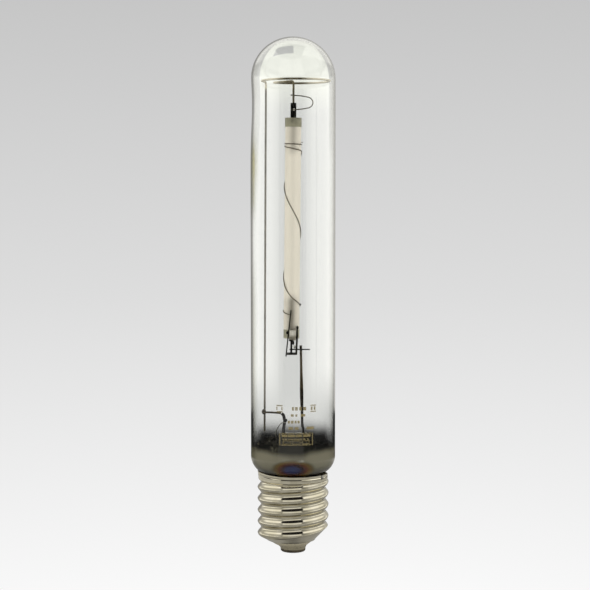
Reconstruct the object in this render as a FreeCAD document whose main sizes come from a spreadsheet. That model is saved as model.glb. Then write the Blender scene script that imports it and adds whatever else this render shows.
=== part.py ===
"""High-pressure sodium vapour lamp: clear tubular bulb on a large screw cap.

The frame is upright. Z rises along the lamp's axis from the tip of the centre contact at
the origin, X is to the right and Y points away from the side that carries the arm of the
starting wire. All lengths are in millimetres and all angles in degrees.
"""
import FreeCAD, Part
import math
import os

import Sketcher
from FreeCAD import Placement, Rotation, Vector

# Driving sizes, one row each: its word and its value
SIZES = (
    ("overall_length", 283.0),
    # Blown glass bulb
    ("bulb_diameter", 46.5),
    ("bulb_wall", 1.1),
    ("shoulder_height", 53.5),
    ("shoulder_round", 10.0),
    ("neck_diameter", 31.0),
    ("neck_round", 4.0),
    ("neck_foot", 28.0),
    # Pressed stem inside the neck
    ("stem_tube_diameter", 16.4),
    ("stem_wall", 1.2),
    ("flare_height", 16.0),
    ("press_foot", 50.0),
    ("press_top", 65.8),
    ("press_width", 18.0),
    ("press_thickness", 6.0),
    ("press_round", 2.0),
    ("exhaust_diameter", 4.6),
    ("exhaust_wall", 0.8),
    ("exhaust_tip", 15.0),
    ("seal_clearance", 0.02),
    # Lead wires through the stem and the pieces welded on them
    ("lead_diameter", 1.4),
    ("lead_foot", 47.0),
    ("left_lead_offset", 5.2),
    ("right_lead_offset", 5.7),
    ("right_lead_top", 71.0),
    ("lead_bend", 1.6),
    ("link_height", 76.6),
    ("link_diameter", 0.9),
    ("link_joint_offset", 7.6),
    ("link_overhang", 0.9),
    ("weld_gap", 0.02),
    # Post of the arc tube; post_top is counted from the arc tube's foot
    ("post_diameter", 1.15),
    ("post_foot", 69.0),
    ("post_top", -4.2),
    ("post_foot_offset", 5.1),
    ("post_top_offset", 4.3),
    # Frame wire with its hoop, whose height is counted from the upper feedthrough's top
    ("frame_diameter", 1.0),
    ("frame_foot", 65.6),
    ("frame_foot_offset", 16.1),
    ("frame_bend", 2.0),
    ("hoop_height", 11.9),
    ("hoop_diameter", 37.0),
    ("hoop_offset", 1.6),
    ("hoop_start_angle", 20.0),
    ("hoop_end_angle", 52.0),
    ("hoop_turn_in", 1.8),
    ("pin_depth", 5.7),
    # Flexible link beside the sliding pin, from over to under the upper feedthrough's top
    ("flex_diameter", 0.6),
    ("flex_reach", 11.2),
    ("flex_top", 4.2),
    ("flex_foot", 3.8),
    # Getter on its wire
    ("getter_diameter", 5.6),
    ("getter_channel", 1.2),
    ("getter_wall", 0.25),
    ("getter_height", 62.2),
    ("getter_offset", 12.6),
    ("getter_wire_diameter", 0.5),
    ("getter_joint_height", 71.8),
    # Arc tube, measured along its own axis from its lower end
    ("arc_foot_height", 118.6),
    ("arc_foot_offset", 0.9),
    ("arc_lean", 0.52),
    ("arc_length", 120.5),
    ("arc_diameter", 8.7),
    ("arc_wall", 0.75),
    ("plug_diameter", 9.1),
    ("plug_height", 4.9),
    ("plug_spigot", 4.0),
    ("feed_diameter", 3.2),
    ("feed_wall", 0.8),
    ("feed_length", 8.1),
    ("lower_feed_diameter", 1.1),
    ("collar_diameter", 2.4),
    ("collar_height", 1.1),
    ("electrode_diameter", 1.2),
    ("upper_electrode_reach", 17.5),
    ("lower_electrode_reach", 22.4),
    ("coil_diameter", 2.8),
    ("coil_wire", 0.8),
    ("coil_setback", 1.6),
    ("amalgam_diameter", 5.0),
    ("amalgam_height", 0.8),
    # Starting wire wound on the arc tube and what carries it, with the cross rod; each
    # height is counted from the arc tube's foot
    ("starting_diameter", 0.45),
    ("winding_clearance", 0.05),
    ("arm_diameter", 0.7),
    ("arm_top", 15.8),
    ("arm_top_offset", 1.1),
    ("arm_foot", -9.6),
    ("arm_foot_offset", 3.85),
    ("arm_clearance", 0.1),
    ("bracket_foot", -8.6),
    ("bracket_top", 6.8),
    ("bracket_sheet", 0.6),
    ("bracket_leg_sheet", 0.9),
    ("bracket_foot_reach", 2.2),
    ("bracket_lean", 0.6),
    ("bracket_back", 0.5),
    ("bracket_depth", 7.6),
    ("bracket_leg_depth", 2.5),
    ("bracket_knee", -4.6),
    ("strip_sheet", 0.3),
    ("strip_bend", 1.1),
    ("strip_top", 4.9),
    ("strip_foot", -0.3),
    ("cross_diameter", 0.7),
    ("cross_height", -6.4),
    ("cross_reach", 9.3),
    ("cross_overhang", 0.5),
    # Screw cap
    ("shell_rim", 44.4),
    ("shell_sheet", 0.35),
    ("collar_shell_diameter", 38.4),
    ("collar_shell_height", 3.6),
    ("thread_diameter", 39.3),
    ("thread_depth", 1.8),
    ("thread_pitch", 6.35),
    ("thread_foot", 11.6),
    ("shell_foot", 6.7),
    ("shell_foot_diameter", 28.4),
    ("notch_width", 1.4),
    ("notch_height", 2.6),
    ("notch_angle", 33.5),
    ("cement_clearance", 0.03),
    ("cement_foot", 29.5),
    ("cement_top", 40.0),
    ("cement_slot", 1.0),
    ("insulator_top", 10.8),
    ("insulator_lip_height", 4.8),
    ("insulator_lip_diameter", 26.6),
    ("contact_diameter", 13.8),
    ("contact_height", 1.6),
    ("contact_round", 0.9),
    ("contact_hole", 2.6),
    ("cap_wire_diameter", 0.55),
    ("cap_wire_bend", 2.4),
    ("rim_solder_diameter", 2.4),
    ("rim_solder_height", 0.7),
)

# The winding of the starting wire: turned angle from the left over the front, in degrees,
# and height on the arc tube as a share of the tube's length
WINDING = (
    (-540.0, 0.8905),
    (-360.0, 0.8838),
    (-180.0, 0.8805),
    (0.0, 0.873),
    (180.0, 0.8498),
    (360.0, 0.692),
    (540.0, 0.4805),
    (720.0, 0.2813),
    (754.0, 0.239),
    (782.0, 0.2058),
    (824.0, 0.1776),
    (900.0, 0.1486),
    (1080.0, 0.1236),
    (1158.0, 0.1095),
)
WINDING_STEP = 45.0
HOOP_STEPS = 16
FULL_TURN = 360.0
LARGEST_BEND = 0.49
PATH_TOLERANCE = 1e-6


class Length:
    """A size in millimetres that keeps the spreadsheet formula which gives it."""

    def __init__(self, value, formula):
        self.value = float(value)
        self.formula = formula

    def __add__(self, other):
        other = as_length(other)
        return Length(self.value + other.value, f"({self.formula} + {other.formula})")

    def __radd__(self, other):
        return as_length(other) + self

    def __sub__(self, other):
        other = as_length(other)
        return Length(self.value - other.value, f"({self.formula} - {other.formula})")

    def __rsub__(self, other):
        return as_length(other) - self

    def __mul__(self, other):
        other = as_length(other)
        return Length(self.value * other.value, f"({self.formula} * {other.formula})")

    def __rmul__(self, other):
        return as_length(other) * self

    def __truediv__(self, other):
        other = as_length(other)
        return Length(self.value / other.value, f"({self.formula} / {other.formula})")

    def __neg__(self):
        return Length(-self.value, f"(0 - {self.formula})")

    def root(self):
        """The square root."""
        return Length(math.sqrt(self.value), f"sqrt({self.formula})")


def as_length(number):
    """A Length from a Length or a plain number."""
    if isinstance(number, Length):
        return number
    return Length(number, repr(float(number)))


class Sizes:
    """The driving sizes by name, each tied to its cell of the spreadsheet."""

    def __init__(self, sheet, rows):
        for row, (name, value) in enumerate(rows, start=1):
            sheet.set(f"A{row}", name)
            sheet.set(f"B{row}", str(value))
            sheet.setAlias(f"B{row}", name)
            setattr(self, name, Length(value, f"Sizes.{name}"))


class Corner:
    """A corner of an outline. With a round, the edge to the next corner is an arc of that
    radius, which bulges to the left of the way along the outline if turn is 1 and to the
    right if it is -1."""

    def __init__(self, across, up, round_radius=None, turn=1):
        self.across = as_length(across)
        self.up = as_length(up)
        self.round_radius = round_radius
        self.turn = turn

    def point(self):
        """The corner as a vector in its sketch."""
        return Vector(self.across.value, self.up.value, 0)


document = FreeCAD.newDocument("sodium_lamp")
sheet = document.addObject("Spreadsheet::Sheet", "Sizes")
size = Sizes(sheet, SIZES)
document.recompute()
sub_parts = []


def keep(sub_part, label):
    """Give a sub-part its label and put it on the list that is written out."""
    sub_part.Label = label
    sub_parts.append(sub_part)
    return sub_part


def origin_plane(body, role):
    """One of the three planes at a body's own origin."""
    for feature in body.Origin.OriginFeatures:
        if feature.Role == role:
            return feature
    raise ValueError(role)


def arc_between(start, end, radius, turn):
    """The shorter arc from start to end, and whether it runs counter-clockwise."""
    chord = end - start
    rise = math.sqrt(max(radius ** 2 - (chord.Length / 2) ** 2, 0.0))
    left = Vector(-chord.y, chord.x, 0).normalize()
    centre = (start + end) * 0.5 - left * (rise * turn)
    circle = Part.Circle(centre, Vector(0, 0, 1), radius)
    first, last = (end, start) if turn > 0 else (start, end)
    first_angle = math.atan2(first.y - centre.y, first.x - centre.x)
    last_angle = math.atan2(last.y - centre.y, last.x - centre.x)
    return Part.ArcOfCircle(circle, first_angle, last_angle), turn < 0


def bind(sketch, kind, places, length):
    """Add one measured constraint to a sketch and tie it to a formula."""
    number = sketch.addConstraint(Sketcher.Constraint(kind, *places, length.value))
    sketch.setExpression(f"Constraints[{number}]", length.formula)


def pin_point(sketch, edge, end, across, up):
    """Fix one end of an edge to its place in the sketch."""
    if across.value == 0.0:
        sketch.addConstraint(Sketcher.Constraint("PointOnObject", edge, end, -2))
    else:
        bind(sketch, "DistanceX", (-1, 1, edge, end), across)
    if up.value == 0.0:
        sketch.addConstraint(Sketcher.Constraint("PointOnObject", edge, end, -1))
    else:
        bind(sketch, "DistanceY", (-1, 1, edge, end), up)


def outline(sketch, corners):
    """Draw a closed outline whose corners and rounds follow their formulas."""
    ends = []
    for here, there in zip(corners, corners[1:] + corners[:1]):
        if here.round_radius is None:
            edge = sketch.addGeometry(Part.LineSegment(here.point(), there.point()))
            ends.append((edge, 1, 2))
            continue
        arc, forward = arc_between(here.point(), there.point(), here.round_radius.value, here.turn)
        edge = sketch.addGeometry(arc)
        ends.append((edge, 1, 2) if forward else (edge, 2, 1))
        bind(sketch, "Radius", (edge,), here.round_radius)
    for index, corner in enumerate(corners):
        edge, start, _ = ends[index]
        before, _, finish = ends[index - 1]
        sketch.addConstraint(Sketcher.Constraint("Coincident", before, finish, edge, start))
        pin_point(sketch, edge, start, corner.across, corner.up)


def circle_outline(sketch, across, up, diameter):
    """Draw a circle that follows its formulas."""
    middle = Vector(across.value, up.value, 0)
    edge = sketch.addGeometry(Part.Circle(middle, Vector(0, 0, 1), diameter.value / 2))
    pin_point(sketch, edge, 3, across, up)
    bind(sketch, "Diameter", (edge,), diameter)


def new_body(label):
    """An empty body on the list of sub-parts."""
    return keep(document.addObject("PartDesign::Body", f"{label}_body"), label)


def new_sketch(body, name, role, offset=None):
    """A sketch on one of the body's origin planes, moved off it along its normal."""
    sketch = body.newObject("Sketcher::SketchObject", f"{body.Label}_{name}")
    sketch.AttachmentSupport = [(origin_plane(body, role), "")]
    sketch.MapMode = "FlatFace"
    if offset is not None:
        sketch.setExpression("AttachmentOffset.Base.z", offset.formula)
    return sketch


def turn_on_axis(body, name, corners, kind="PartDesign::Revolution"):
    """Turn an outline in the XZ plane about the body's Z axis."""
    sketch = new_sketch(body, name, "XZ_Plane")
    outline(sketch, corners)
    feature = body.newObject(kind, f"{body.Label}_{name}_turned")
    feature.Profile = sketch
    feature.ReferenceAxis = (sketch, ["V_Axis"])
    feature.Angle = FULL_TURN
    return feature


def turned(label, corners):
    """A body turned about the lamp's axis from one outline."""
    body = new_body(label)
    turn_on_axis(body, "section", corners)
    return body


def pad(body, sketch, length, reverse=False):
    """Pad a sketch to a length tied to its formula."""
    feature = body.newObject("PartDesign::Pad", f"{sketch.Name}_pad")
    feature.Profile = sketch
    feature.Length = length.value
    feature.setExpression("Length", length.formula)
    feature.Reversed = reverse
    return feature


def pocket(body, sketch, length, reverse=False):
    """Cut a sketch to a length tied to its formula."""
    feature = body.newObject("PartDesign::Pocket", f"{sketch.Name}_cut")
    feature.Profile = sketch
    feature.Length = length.value
    feature.setExpression("Length", length.formula)
    feature.Reversed = reverse
    return feature


def on_arc_tube(sub_part):
    """Stand a sub-part on the lower end of the leaning arc tube."""
    sub_part.Placement = Placement(Vector(0, 0, 0), Rotation(Vector(0, 1, 0), size.arc_lean.value))
    sub_part.setExpression("Placement.Base.x", (-size.arc_foot_offset).formula)
    sub_part.setExpression("Placement.Base.z", size.arc_foot_height.formula)
    sub_part.setExpression("Placement.Rotation.Angle", size.arc_lean.formula)
    return sub_part


def over_foot(height):
    """Height in the lamp's frame of what is counted from the arc tube's foot."""
    return size.arc_foot_height + height


def from_arc_tube(across, deep, along):
    """A place on the leaning arc tube as a vector in the lamp's frame."""
    lean = Rotation(Vector(0, 1, 0), size.arc_lean.value)
    foot = Vector(-size.arc_foot_offset.value, 0, size.arc_foot_height.value)
    return foot + lean.multVec(Vector(across, deep, along))


def bent_path(points, bends):
    """Straight runs through the points, joined by tangent arcs.

    Each bend is the radius at one inner point. None takes the largest that both runs allow.
    """
    edges = []
    last = points[0]
    for before, corner, after, bend in zip(points, points[1:], points[2:], bends):
        back = before - corner
        ahead = after - corner
        turn = math.pi - back.getAngle(ahead)
        room = LARGEST_BEND * min(back.Length, ahead.Length)
        setback = room if bend is None else min(bend * math.tan(turn / 2), room)
        radius = setback / math.tan(turn / 2)
        enter = corner + back.normalize() * setback
        leave = corner + ahead.normalize() * setback
        inward = (back + ahead).normalize()
        middle = corner + inward * (radius / math.cos(turn / 2) - radius)
        if enter.distanceToPoint(last) > PATH_TOLERANCE:
            edges.append(Part.LineSegment(last, enter).toShape())
        edges.append(Part.Arc(enter, middle, leave).toShape())
        last = leave
    edges.append(Part.LineSegment(last, points[-1]).toShape())
    return Part.Wire(edges)


def wire_shape(points, bends, diameter):
    """A round wire bent along its points."""
    path = bent_path(points, bends)
    section = Part.Circle(points[0], points[1] - points[0], diameter / 2)
    wire = path.makePipe(Part.Face(Part.Wire(section.toShape())))
    expected = path.Length * math.pi * diameter ** 2 / 4
    print(f"wire {path.Length:.2f} long, volume {wire.Volume:.3f} of {expected:.3f}")
    return wire


def bent_wire(label, points, bends, diameter):
    """A sub-part of round wire bent in space."""
    feature = keep(document.addObject("Part::Feature", label), label)
    feature.Shape = wire_shape(points, bends, diameter.value)
    return feature


def straight_rod(label, start, end, diameter):
    """A sub-part of straight round rod between two points."""
    rod = keep(document.addObject("Part::Cylinder", label), label)
    rod.setExpression("Radius", (diameter / 2).formula)
    rod.Height = (end - start).Length
    rod.Placement = Placement(start, Rotation(Vector(0, 0, 1), end - start))
    return rod


def s_bend(bend_centre, bend_radius, wall_radius, other_radius):
    """Centre height and meeting point of a round that joins a convex one to a straight wall.

    The convex round has its centre at bend_centre. The other round, on the outside, is
    tangent to it and to the upright wall at wall_radius.
    """
    centre_across = wall_radius + other_radius
    spread = bend_radius + other_radius
    across = centre_across - bend_centre[0]
    drop = (spread * spread - across * across).root()
    share = bend_radius / spread
    meet = (bend_centre[0] + across * share, bend_centre[1] - drop * share)
    return bend_centre[1] - drop, meet


def bulb_side(offset):
    """Corners of the bulb's outer side, or of its inner side when offset is the wall."""
    radius = size.bulb_diameter / 2
    centre = (radius - size.shoulder_round, size.shoulder_height)
    round_radius = size.shoulder_round - offset
    neck_round = size.neck_round + offset
    neck_radius = size.neck_diameter / 2 - offset
    start_height, meet = s_bend(centre, round_radius, neck_radius, neck_round)
    dome_radius = radius - offset
    return [
        Corner(neck_radius, size.neck_foot),
        Corner(neck_radius, start_height, neck_round, 1),
        Corner(meet[0], meet[1], round_radius, -1),
        Corner(dome_radius, size.shoulder_height),
        Corner(dome_radius, size.overall_length - radius, dome_radius, -1),
        Corner(0, size.overall_length - offset),
    ]


def reversed_corners(corners):
    """The same open outline walked the other way."""
    flipped = []
    for index in range(len(corners) - 1, -1, -1):
        corner = corners[index]
        before = corners[index - 1] if index else None
        if before is None or before.round_radius is None:
            flipped.append(Corner(corner.across, corner.up))
        else:
            flipped.append(Corner(corner.across, corner.up, before.round_radius, -before.turn))
    return flipped


def make_outer_bulb():
    """Blown glass bulb, domed at the top and necked down into the cap."""
    inner = reversed_corners(bulb_side(size.bulb_wall))
    return turned("outer_bulb", bulb_side(as_length(0)) + inner)


def make_stem():
    """Glass stem: flared tube sealed to the neck, pinched flat round the lead wires."""
    body = new_body("stem")
    tube_radius = size.stem_tube_diameter / 2
    bore_radius = tube_radius - size.stem_wall
    rim_radius = size.neck_diameter / 2
    flare_top = size.neck_foot + size.flare_height
    rim_foot = size.neck_foot - size.stem_wall
    flare_round = (rim_radius - tube_radius) * 1.6
    turn_on_axis(body, "flare", [
        Corner(rim_radius, rim_foot),
        Corner(rim_radius, size.neck_foot),
        Corner(rim_radius - size.bulb_wall * 1.5, size.neck_foot, flare_round * 1.6, -1),
        Corner(tube_radius, flare_top),
        Corner(tube_radius, size.press_foot),
        Corner(tube_radius - size.press_round, size.press_foot + size.press_round),
        Corner(0, size.press_foot + size.press_round),
        Corner(0, size.press_foot),
        Corner(bore_radius, size.press_foot),
        Corner(bore_radius, flare_top, flare_round * 1.6, 1),
        Corner(rim_radius - size.bulb_wall * 1.5 - size.stem_wall, rim_foot),
    ])
    press = new_sketch(body, "press", "XZ_Plane", -size.press_thickness / 2)
    half_width = size.press_width / 2
    outline(press, [
        Corner(-(tube_radius - size.press_round), size.press_foot),
        Corner(tube_radius - size.press_round, size.press_foot),
        Corner(half_width, size.press_foot + (size.press_top - size.press_foot) / 2),
        Corner(half_width, size.press_top - size.press_round, size.press_round, -1),
        Corner(half_width - size.press_round, size.press_top),
        Corner(-(half_width - size.press_round), size.press_top, size.press_round, -1),
        Corner(-half_width, size.press_top - size.press_round),
        Corner(-half_width, size.press_foot + (size.press_top - size.press_foot) / 2),
    ])
    pad(body, press, size.press_thickness)
    bores = new_sketch(body, "lead_bores", "XY_Plane", size.press_top + size.press_round)
    bore = size.lead_diameter + 2 * size.seal_clearance
    circle_outline(bores, -size.left_lead_offset, as_length(0), bore)
    circle_outline(bores, size.right_lead_offset, as_length(0), bore)
    pocket(body, bores, size.press_top + 2 * size.press_round - size.press_foot)
    return body


def make_exhaust_tube():
    """Exhaust tube under the press, melted shut at its tip inside the cap."""
    radius = size.exhaust_diameter / 2
    bore = radius - size.exhaust_wall
    top = size.press_foot - size.seal_clearance
    return turned("exhaust_tube", [
        Corner(0, size.exhaust_tip, radius, -1),
        Corner(radius, size.exhaust_tip + radius),
        Corner(radius, top),
        Corner(bore, top),
        Corner(bore, size.exhaust_tip + radius, bore, 1),
        Corner(0, size.exhaust_tip + size.exhaust_wall),
    ])


def make_left_lead():
    """Thick lead wire through the left of the press, bent over towards the frame wire."""
    across = -size.left_lead_offset.value
    height = size.link_height.value
    return bent_wire("stem_lead_left", [
        Vector(across, 0, size.lead_foot.value),
        Vector(across, 0, height),
        Vector(-size.link_joint_offset.value, 0, height),
    ], [size.lead_bend.value], size.lead_diameter)


def make_right_lead():
    """Thick lead wire through the right of the press, up beside the post's foot."""
    across = size.right_lead_offset.value
    kink = size.press_top.value + size.lead_diameter.value
    return bent_wire("stem_lead_right", [
        Vector(across, 0, size.lead_foot.value),
        Vector(across, 0, kink),
        Vector(size.post_foot_offset.value, 0, size.right_lead_top.value),
    ], [size.lead_bend.value], size.lead_diameter)


def frame_depth():
    """Depth of the upright run of the frame wire, behind the lamp's axis."""
    start = math.radians(size.hoop_start_angle.value)
    radius = size.hoop_diameter.value / 2
    return radius * math.sin(start) + size.frame_bend.value * math.cos(start)


def pin_place():
    """Where the sliding pin meets the top of the upper feedthrough."""
    top = size.arc_length.value + size.feed_length.value
    return from_arc_tube(0, 0, top)


def hoop_level():
    """Height of the hoop over the end of the arc tube's upper feedthrough."""
    return pin_place().z + size.hoop_height.value


def hoop_point(angle, radius):
    """A point of the hoop, its angle counted from the left over the front."""
    turn = math.radians(angle)
    across = size.hoop_offset.value - radius * math.cos(turn)
    return Vector(across, -radius * math.sin(turn), hoop_level())


def hoop_direction(angle):
    """The way along the hoop at an angle."""
    turn = math.radians(angle)
    return Vector(math.sin(turn), -math.cos(turn), 0)


def make_frame_rod():
    """Frame wire: one upright run, the hoop under the dome and the sliding pin."""
    radius = size.hoop_diameter.value / 2
    bend = size.frame_bend.value
    first = -size.hoop_start_angle.value
    last = FULL_TURN - size.hoop_end_angle.value
    step = (last - first) / HOOP_STEPS
    reach = radius / math.cos(math.radians(step / 2))
    hoop = [hoop_point(first + step * (number + 0.5), reach) for number in range(HOOP_STEPS)]
    entry = hoop_point(first, radius) - hoop_direction(first) * bend
    leaving = hoop_point(last, radius) + hoop_direction(last) * size.hoop_turn_in.value
    pin = pin_place()
    pin_top = Vector(pin.x, pin.y, hoop_level())
    pin_foot = pin - Vector(0, 0, size.pin_depth.value)
    foot = Vector(-size.frame_foot_offset.value, frame_depth(), size.frame_foot.value)
    points = [foot, entry] + hoop + [leaving, pin_top, pin_foot]
    bends = [bend] + [None] * HOOP_STEPS + [bend * 0.8, bend * 1.2]
    return bent_wire("frame_rod", points, bends, size.frame_diameter)


def make_frame_link():
    """Cross wire from the left lead to the frame wire, which it is welded in front of."""
    height = size.link_height.value
    rise = hoop_level() - size.frame_foot.value
    share = (height - size.frame_foot.value) / rise
    entry = hoop_point(-size.hoop_start_angle.value, size.hoop_diameter.value / 2)
    entry = entry - hoop_direction(-size.hoop_start_angle.value) * size.frame_bend.value
    rod_across = -size.frame_foot_offset.value * (1 - share) + entry.x * share
    touch = size.frame_diameter / 2 + size.link_diameter / 2 + size.weld_gap
    near_gap = size.weld_gap + size.link_diameter / 2
    near = Vector(-size.link_joint_offset.value - near_gap.value, 0, height)
    elbow = Vector(rod_across + 2 * size.lead_bend.value, frame_depth() - touch.value, height)
    far = Vector(rod_across - size.link_overhang.value, elbow.y, height)
    return bent_wire("frame_link", [near, elbow, far], [size.lead_bend.value], size.link_diameter)


def post_depth():
    """Depth of the post at its foot, behind the right lead that it is welded to."""
    return (size.lead_diameter / 2 + size.post_diameter / 2 + size.weld_gap).value


def cross_depth():
    """Depth of the cross rod, behind the lower feedthrough that it is welded to."""
    return (size.lower_feed_diameter / 2 + size.cross_diameter / 2 + size.weld_gap).value


def make_arc_post():
    """Upright post that carries the lower end of the arc tube."""
    touch = (size.cross_diameter / 2 + size.post_diameter / 2 + size.weld_gap).value
    backward = cross_depth() + touch - post_depth()
    post_top = over_foot(size.post_top)
    share = ((over_foot(size.cross_height) - size.post_foot) / (post_top - size.post_foot)).value
    foot = Vector(size.post_foot_offset.value, post_depth(), size.post_foot.value)
    top = Vector(size.post_top_offset.value, post_depth() + backward / share, post_top.value)
    return straight_rod("arc_post", foot, top, size.post_diameter)


def make_cross_rod():
    """Short rod that ties the lower feedthrough to the post."""
    height = over_foot(size.cross_height).value
    start = -(size.arc_foot_offset + size.lower_feed_diameter / 2 + size.cross_overhang).value
    return straight_rod(
        "cross_rod",
        Vector(start, cross_depth(), height),
        Vector(size.cross_reach.value, cross_depth(), height),
        size.cross_diameter,
    )


def make_flexible_link():
    """Thin looped wire that carries the current past the sliding pin."""
    pin = pin_place()
    pin_side = -(size.frame_diameter / 2 + size.flex_diameter / 2 + size.weld_gap).value
    tube_side = -(size.feed_diameter / 2 + size.flex_diameter / 2 + size.weld_gap).value
    top = pin.z + size.flex_top.value
    foot = pin.z - size.flex_foot.value
    reach = size.flex_reach.value
    middle = (top + foot) / 2
    overhang = 2.6 * size.flex_diameter.value
    return bent_wire("flexible_link", [
        Vector(pin.x - overhang, pin_side, top),
        Vector(0.45 * reach, pin_side, top - 0.05 * (top - foot)),
        Vector(0.87 * reach, (pin_side + tube_side) / 2, top - 0.19 * (top - foot)),
        Vector(reach, (pin_side + tube_side) / 2, middle),
        Vector(0.87 * reach, (pin_side + tube_side) / 2, foot + 0.16 * (top - foot)),
        Vector(0.4 * reach, tube_side, foot + 0.04 * (top - foot)),
        Vector(pin.x - overhang / 3, tube_side, foot),
    ], [None] * 5, size.flex_diameter)


def make_getter():
    """Getter: an open ring channel, seen from its edge, and the wire that carries it."""
    body = new_body("getter_ring")
    middle = size.getter_diameter / 2 - size.getter_channel / 2
    inner = middle - size.getter_channel / 2
    outer = middle + size.getter_channel / 2
    wall = size.getter_wall
    top = size.getter_channel
    turn_on_axis(body, "channel", [
        Corner(inner, 0),
        Corner(outer, 0),
        Corner(outer, top),
        Corner(outer - wall, top),
        Corner(outer - wall, wall),
        Corner(inner + wall, wall),
        Corner(inner + wall, top),
        Corner(inner, top),
    ])
    body.setExpression("Placement.Base.x", (-size.getter_offset).formula)
    body.setExpression("Placement.Base.z", size.getter_height.formula)
    side = size.getter_wire_diameter / 2 + size.weld_gap
    across = (-size.getter_offset + size.getter_diameter / 2 + side).value
    lead_front = -(size.lead_diameter / 2 + side).value
    joint = size.getter_joint_height.value
    bent_wire("getter_wire", [
        Vector(across, 0, size.getter_height.value),
        Vector(across, 0, size.getter_height.value + 4 * size.getter_channel.value),
        Vector(-size.left_lead_offset.value - size.lead_diameter.value, lead_front, joint),
        Vector(-size.left_lead_offset.value + size.lead_diameter.value, lead_front, joint),
    ], [None, None], size.getter_wire_diameter)
    return body


def make_arc_tube():
    """Translucent ceramic arc tube between its end plugs."""
    radius = size.arc_diameter / 2
    bore = radius - size.arc_wall
    return on_arc_tube(turned("arc_tube", [
        Corner(bore, size.plug_height),
        Corner(radius, size.plug_height),
        Corner(radius, size.arc_length - size.plug_height),
        Corner(bore, size.arc_length - size.plug_height),
    ]))


def make_end_plug(label, lower, flange_diameter, bore_diameter):
    """Ceramic end plug: flange over the tube's end and spigot inside it."""
    bore = bore_diameter / 2 + size.seal_clearance
    flange = flange_diameter / 2
    spigot = size.arc_diameter / 2 - size.arc_wall - size.seal_clearance
    seat = size.seal_clearance

    def height(rise):
        return rise if lower else size.arc_length - rise

    return on_arc_tube(turned(label, [
        Corner(bore, height(as_length(0))),
        Corner(flange, height(as_length(0))),
        Corner(flange, height(size.plug_height - seat)),
        Corner(spigot, height(size.plug_height - seat)),
        Corner(spigot, height(size.plug_height + size.plug_spigot)),
        Corner(bore, height(size.plug_height + size.plug_spigot)),
    ]))


def make_upper_feedthrough():
    """Niobium tube through the upper plug, closed inside and open above for the pin."""
    radius = size.feed_diameter / 2
    bore = radius - size.feed_wall
    foot = size.arc_length - size.plug_height - size.plug_spigot
    top = size.arc_length + size.feed_length
    floor = foot + size.feed_wall
    return on_arc_tube(turned("upper_feedthrough", [
        Corner(0, foot),
        Corner(radius, foot),
        Corner(radius, top),
        Corner(bore, top),
        Corner(bore, floor),
        Corner(0, floor),
    ]))


def make_lower_feedthrough():
    """Niobium rod through the lower plug, with a collar under it."""
    radius = size.lower_feed_diameter / 2
    collar = size.collar_diameter / 2
    top = size.plug_height + size.plug_spigot
    seat = -size.seal_clearance
    foot = size.bracket_foot + size.bracket_sheet + size.weld_gap
    return on_arc_tube(turned("lower_feedthrough", [
        Corner(0, foot),
        Corner(radius, foot),
        Corner(radius, seat - size.collar_height),
        Corner(collar, seat - size.collar_height),
        Corner(collar, seat),
        Corner(radius, seat),
        Corner(radius, top),
        Corner(0, top),
    ]))


def make_electrode(label, root, tip):
    """Tungsten rod with its coil behind the tip; root and tip are places on the arc tube."""
    radius = size.electrode_diameter / 2
    coil = size.coil_diameter / 2
    sign = 1 if tip.value > root.value else -1
    coil_end = tip - size.coil_setback * sign
    turns = 6
    coil_start = coil_end - size.coil_wire * (turns * sign)
    corners = [Corner(0, root), Corner(radius, root), Corner(radius, coil_start)]
    crest = coil - size.coil_wire / 4
    for number in range(turns):
        groove = coil_start + size.coil_wire * (number * sign)
        corners.append(Corner(crest, groove))
        corners.append(Corner(coil, groove + size.coil_wire * (0.5 * sign)))
    corners += [Corner(crest, coil_end), Corner(radius, coil_end), Corner(radius, tip), Corner(0, tip)]
    return on_arc_tube(turned(label, corners))


def make_amalgam_dose():
    """Bead of sodium amalgam on the lower plug, round the electrode's root."""
    foot = size.plug_height + size.plug_spigot + size.seal_clearance
    inner = size.electrode_diameter / 2 + size.winding_clearance
    outer = size.amalgam_diameter / 2
    return on_arc_tube(turned("amalgam_dose", [
        Corner(inner, foot),
        Corner(outer, foot),
        Corner(outer - size.amalgam_height / 2, foot + size.amalgam_height / 2),
        Corner(inner, foot + size.amalgam_height),
    ]))


def winding_height(angle):
    """Height of the starting wire on the arc tube at a turned angle."""
    length = size.arc_length.value
    for (first, low), (last, high) in zip(WINDING, WINDING[1:]):
        if first <= angle <= last:
            return length * (low + (high - low) * (angle - first) / (last - first))
    return length * WINDING[-1][1]


def make_starting_wire():
    """Thin wire wound on the arc tube: two close turns at the top, then two long ones."""
    hug = (size.arc_diameter / 2 + size.starting_diameter / 2 + size.winding_clearance).value
    reach = hug / math.cos(math.radians(WINDING_STEP / 2))
    first = WINDING[0][0]
    last = WINDING[-1][0]
    count = int((last - first) / WINDING_STEP)
    angles = [first + WINDING_STEP * number for number in range(count + 1)] + [last]
    points = []
    for angle in angles:
        turn = math.radians(angle)
        points.append(Vector(-reach * math.cos(turn), -reach * math.sin(turn), winding_height(angle)))
    wire = bent_wire("starting_wire", points, [None] * (len(points) - 2), size.starting_diameter)
    return on_arc_tube(wire)


def arm_depth():
    """Depth of the starting arm, in front of the end plug and of the starting wire."""
    wound = size.arc_diameter / 2 + 2 * size.winding_clearance + size.starting_diameter
    return -(wound + size.arm_clearance + size.arm_diameter / 2).value


def arm_across(height):
    """Place of the starting arm, across the lamp, at a height over the arc tube's foot."""
    share = (height - size.arm_foot) / (size.arm_top - size.arm_foot)
    return (size.arm_foot_offset - size.arm_top_offset) * share - size.arm_foot_offset


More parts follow.
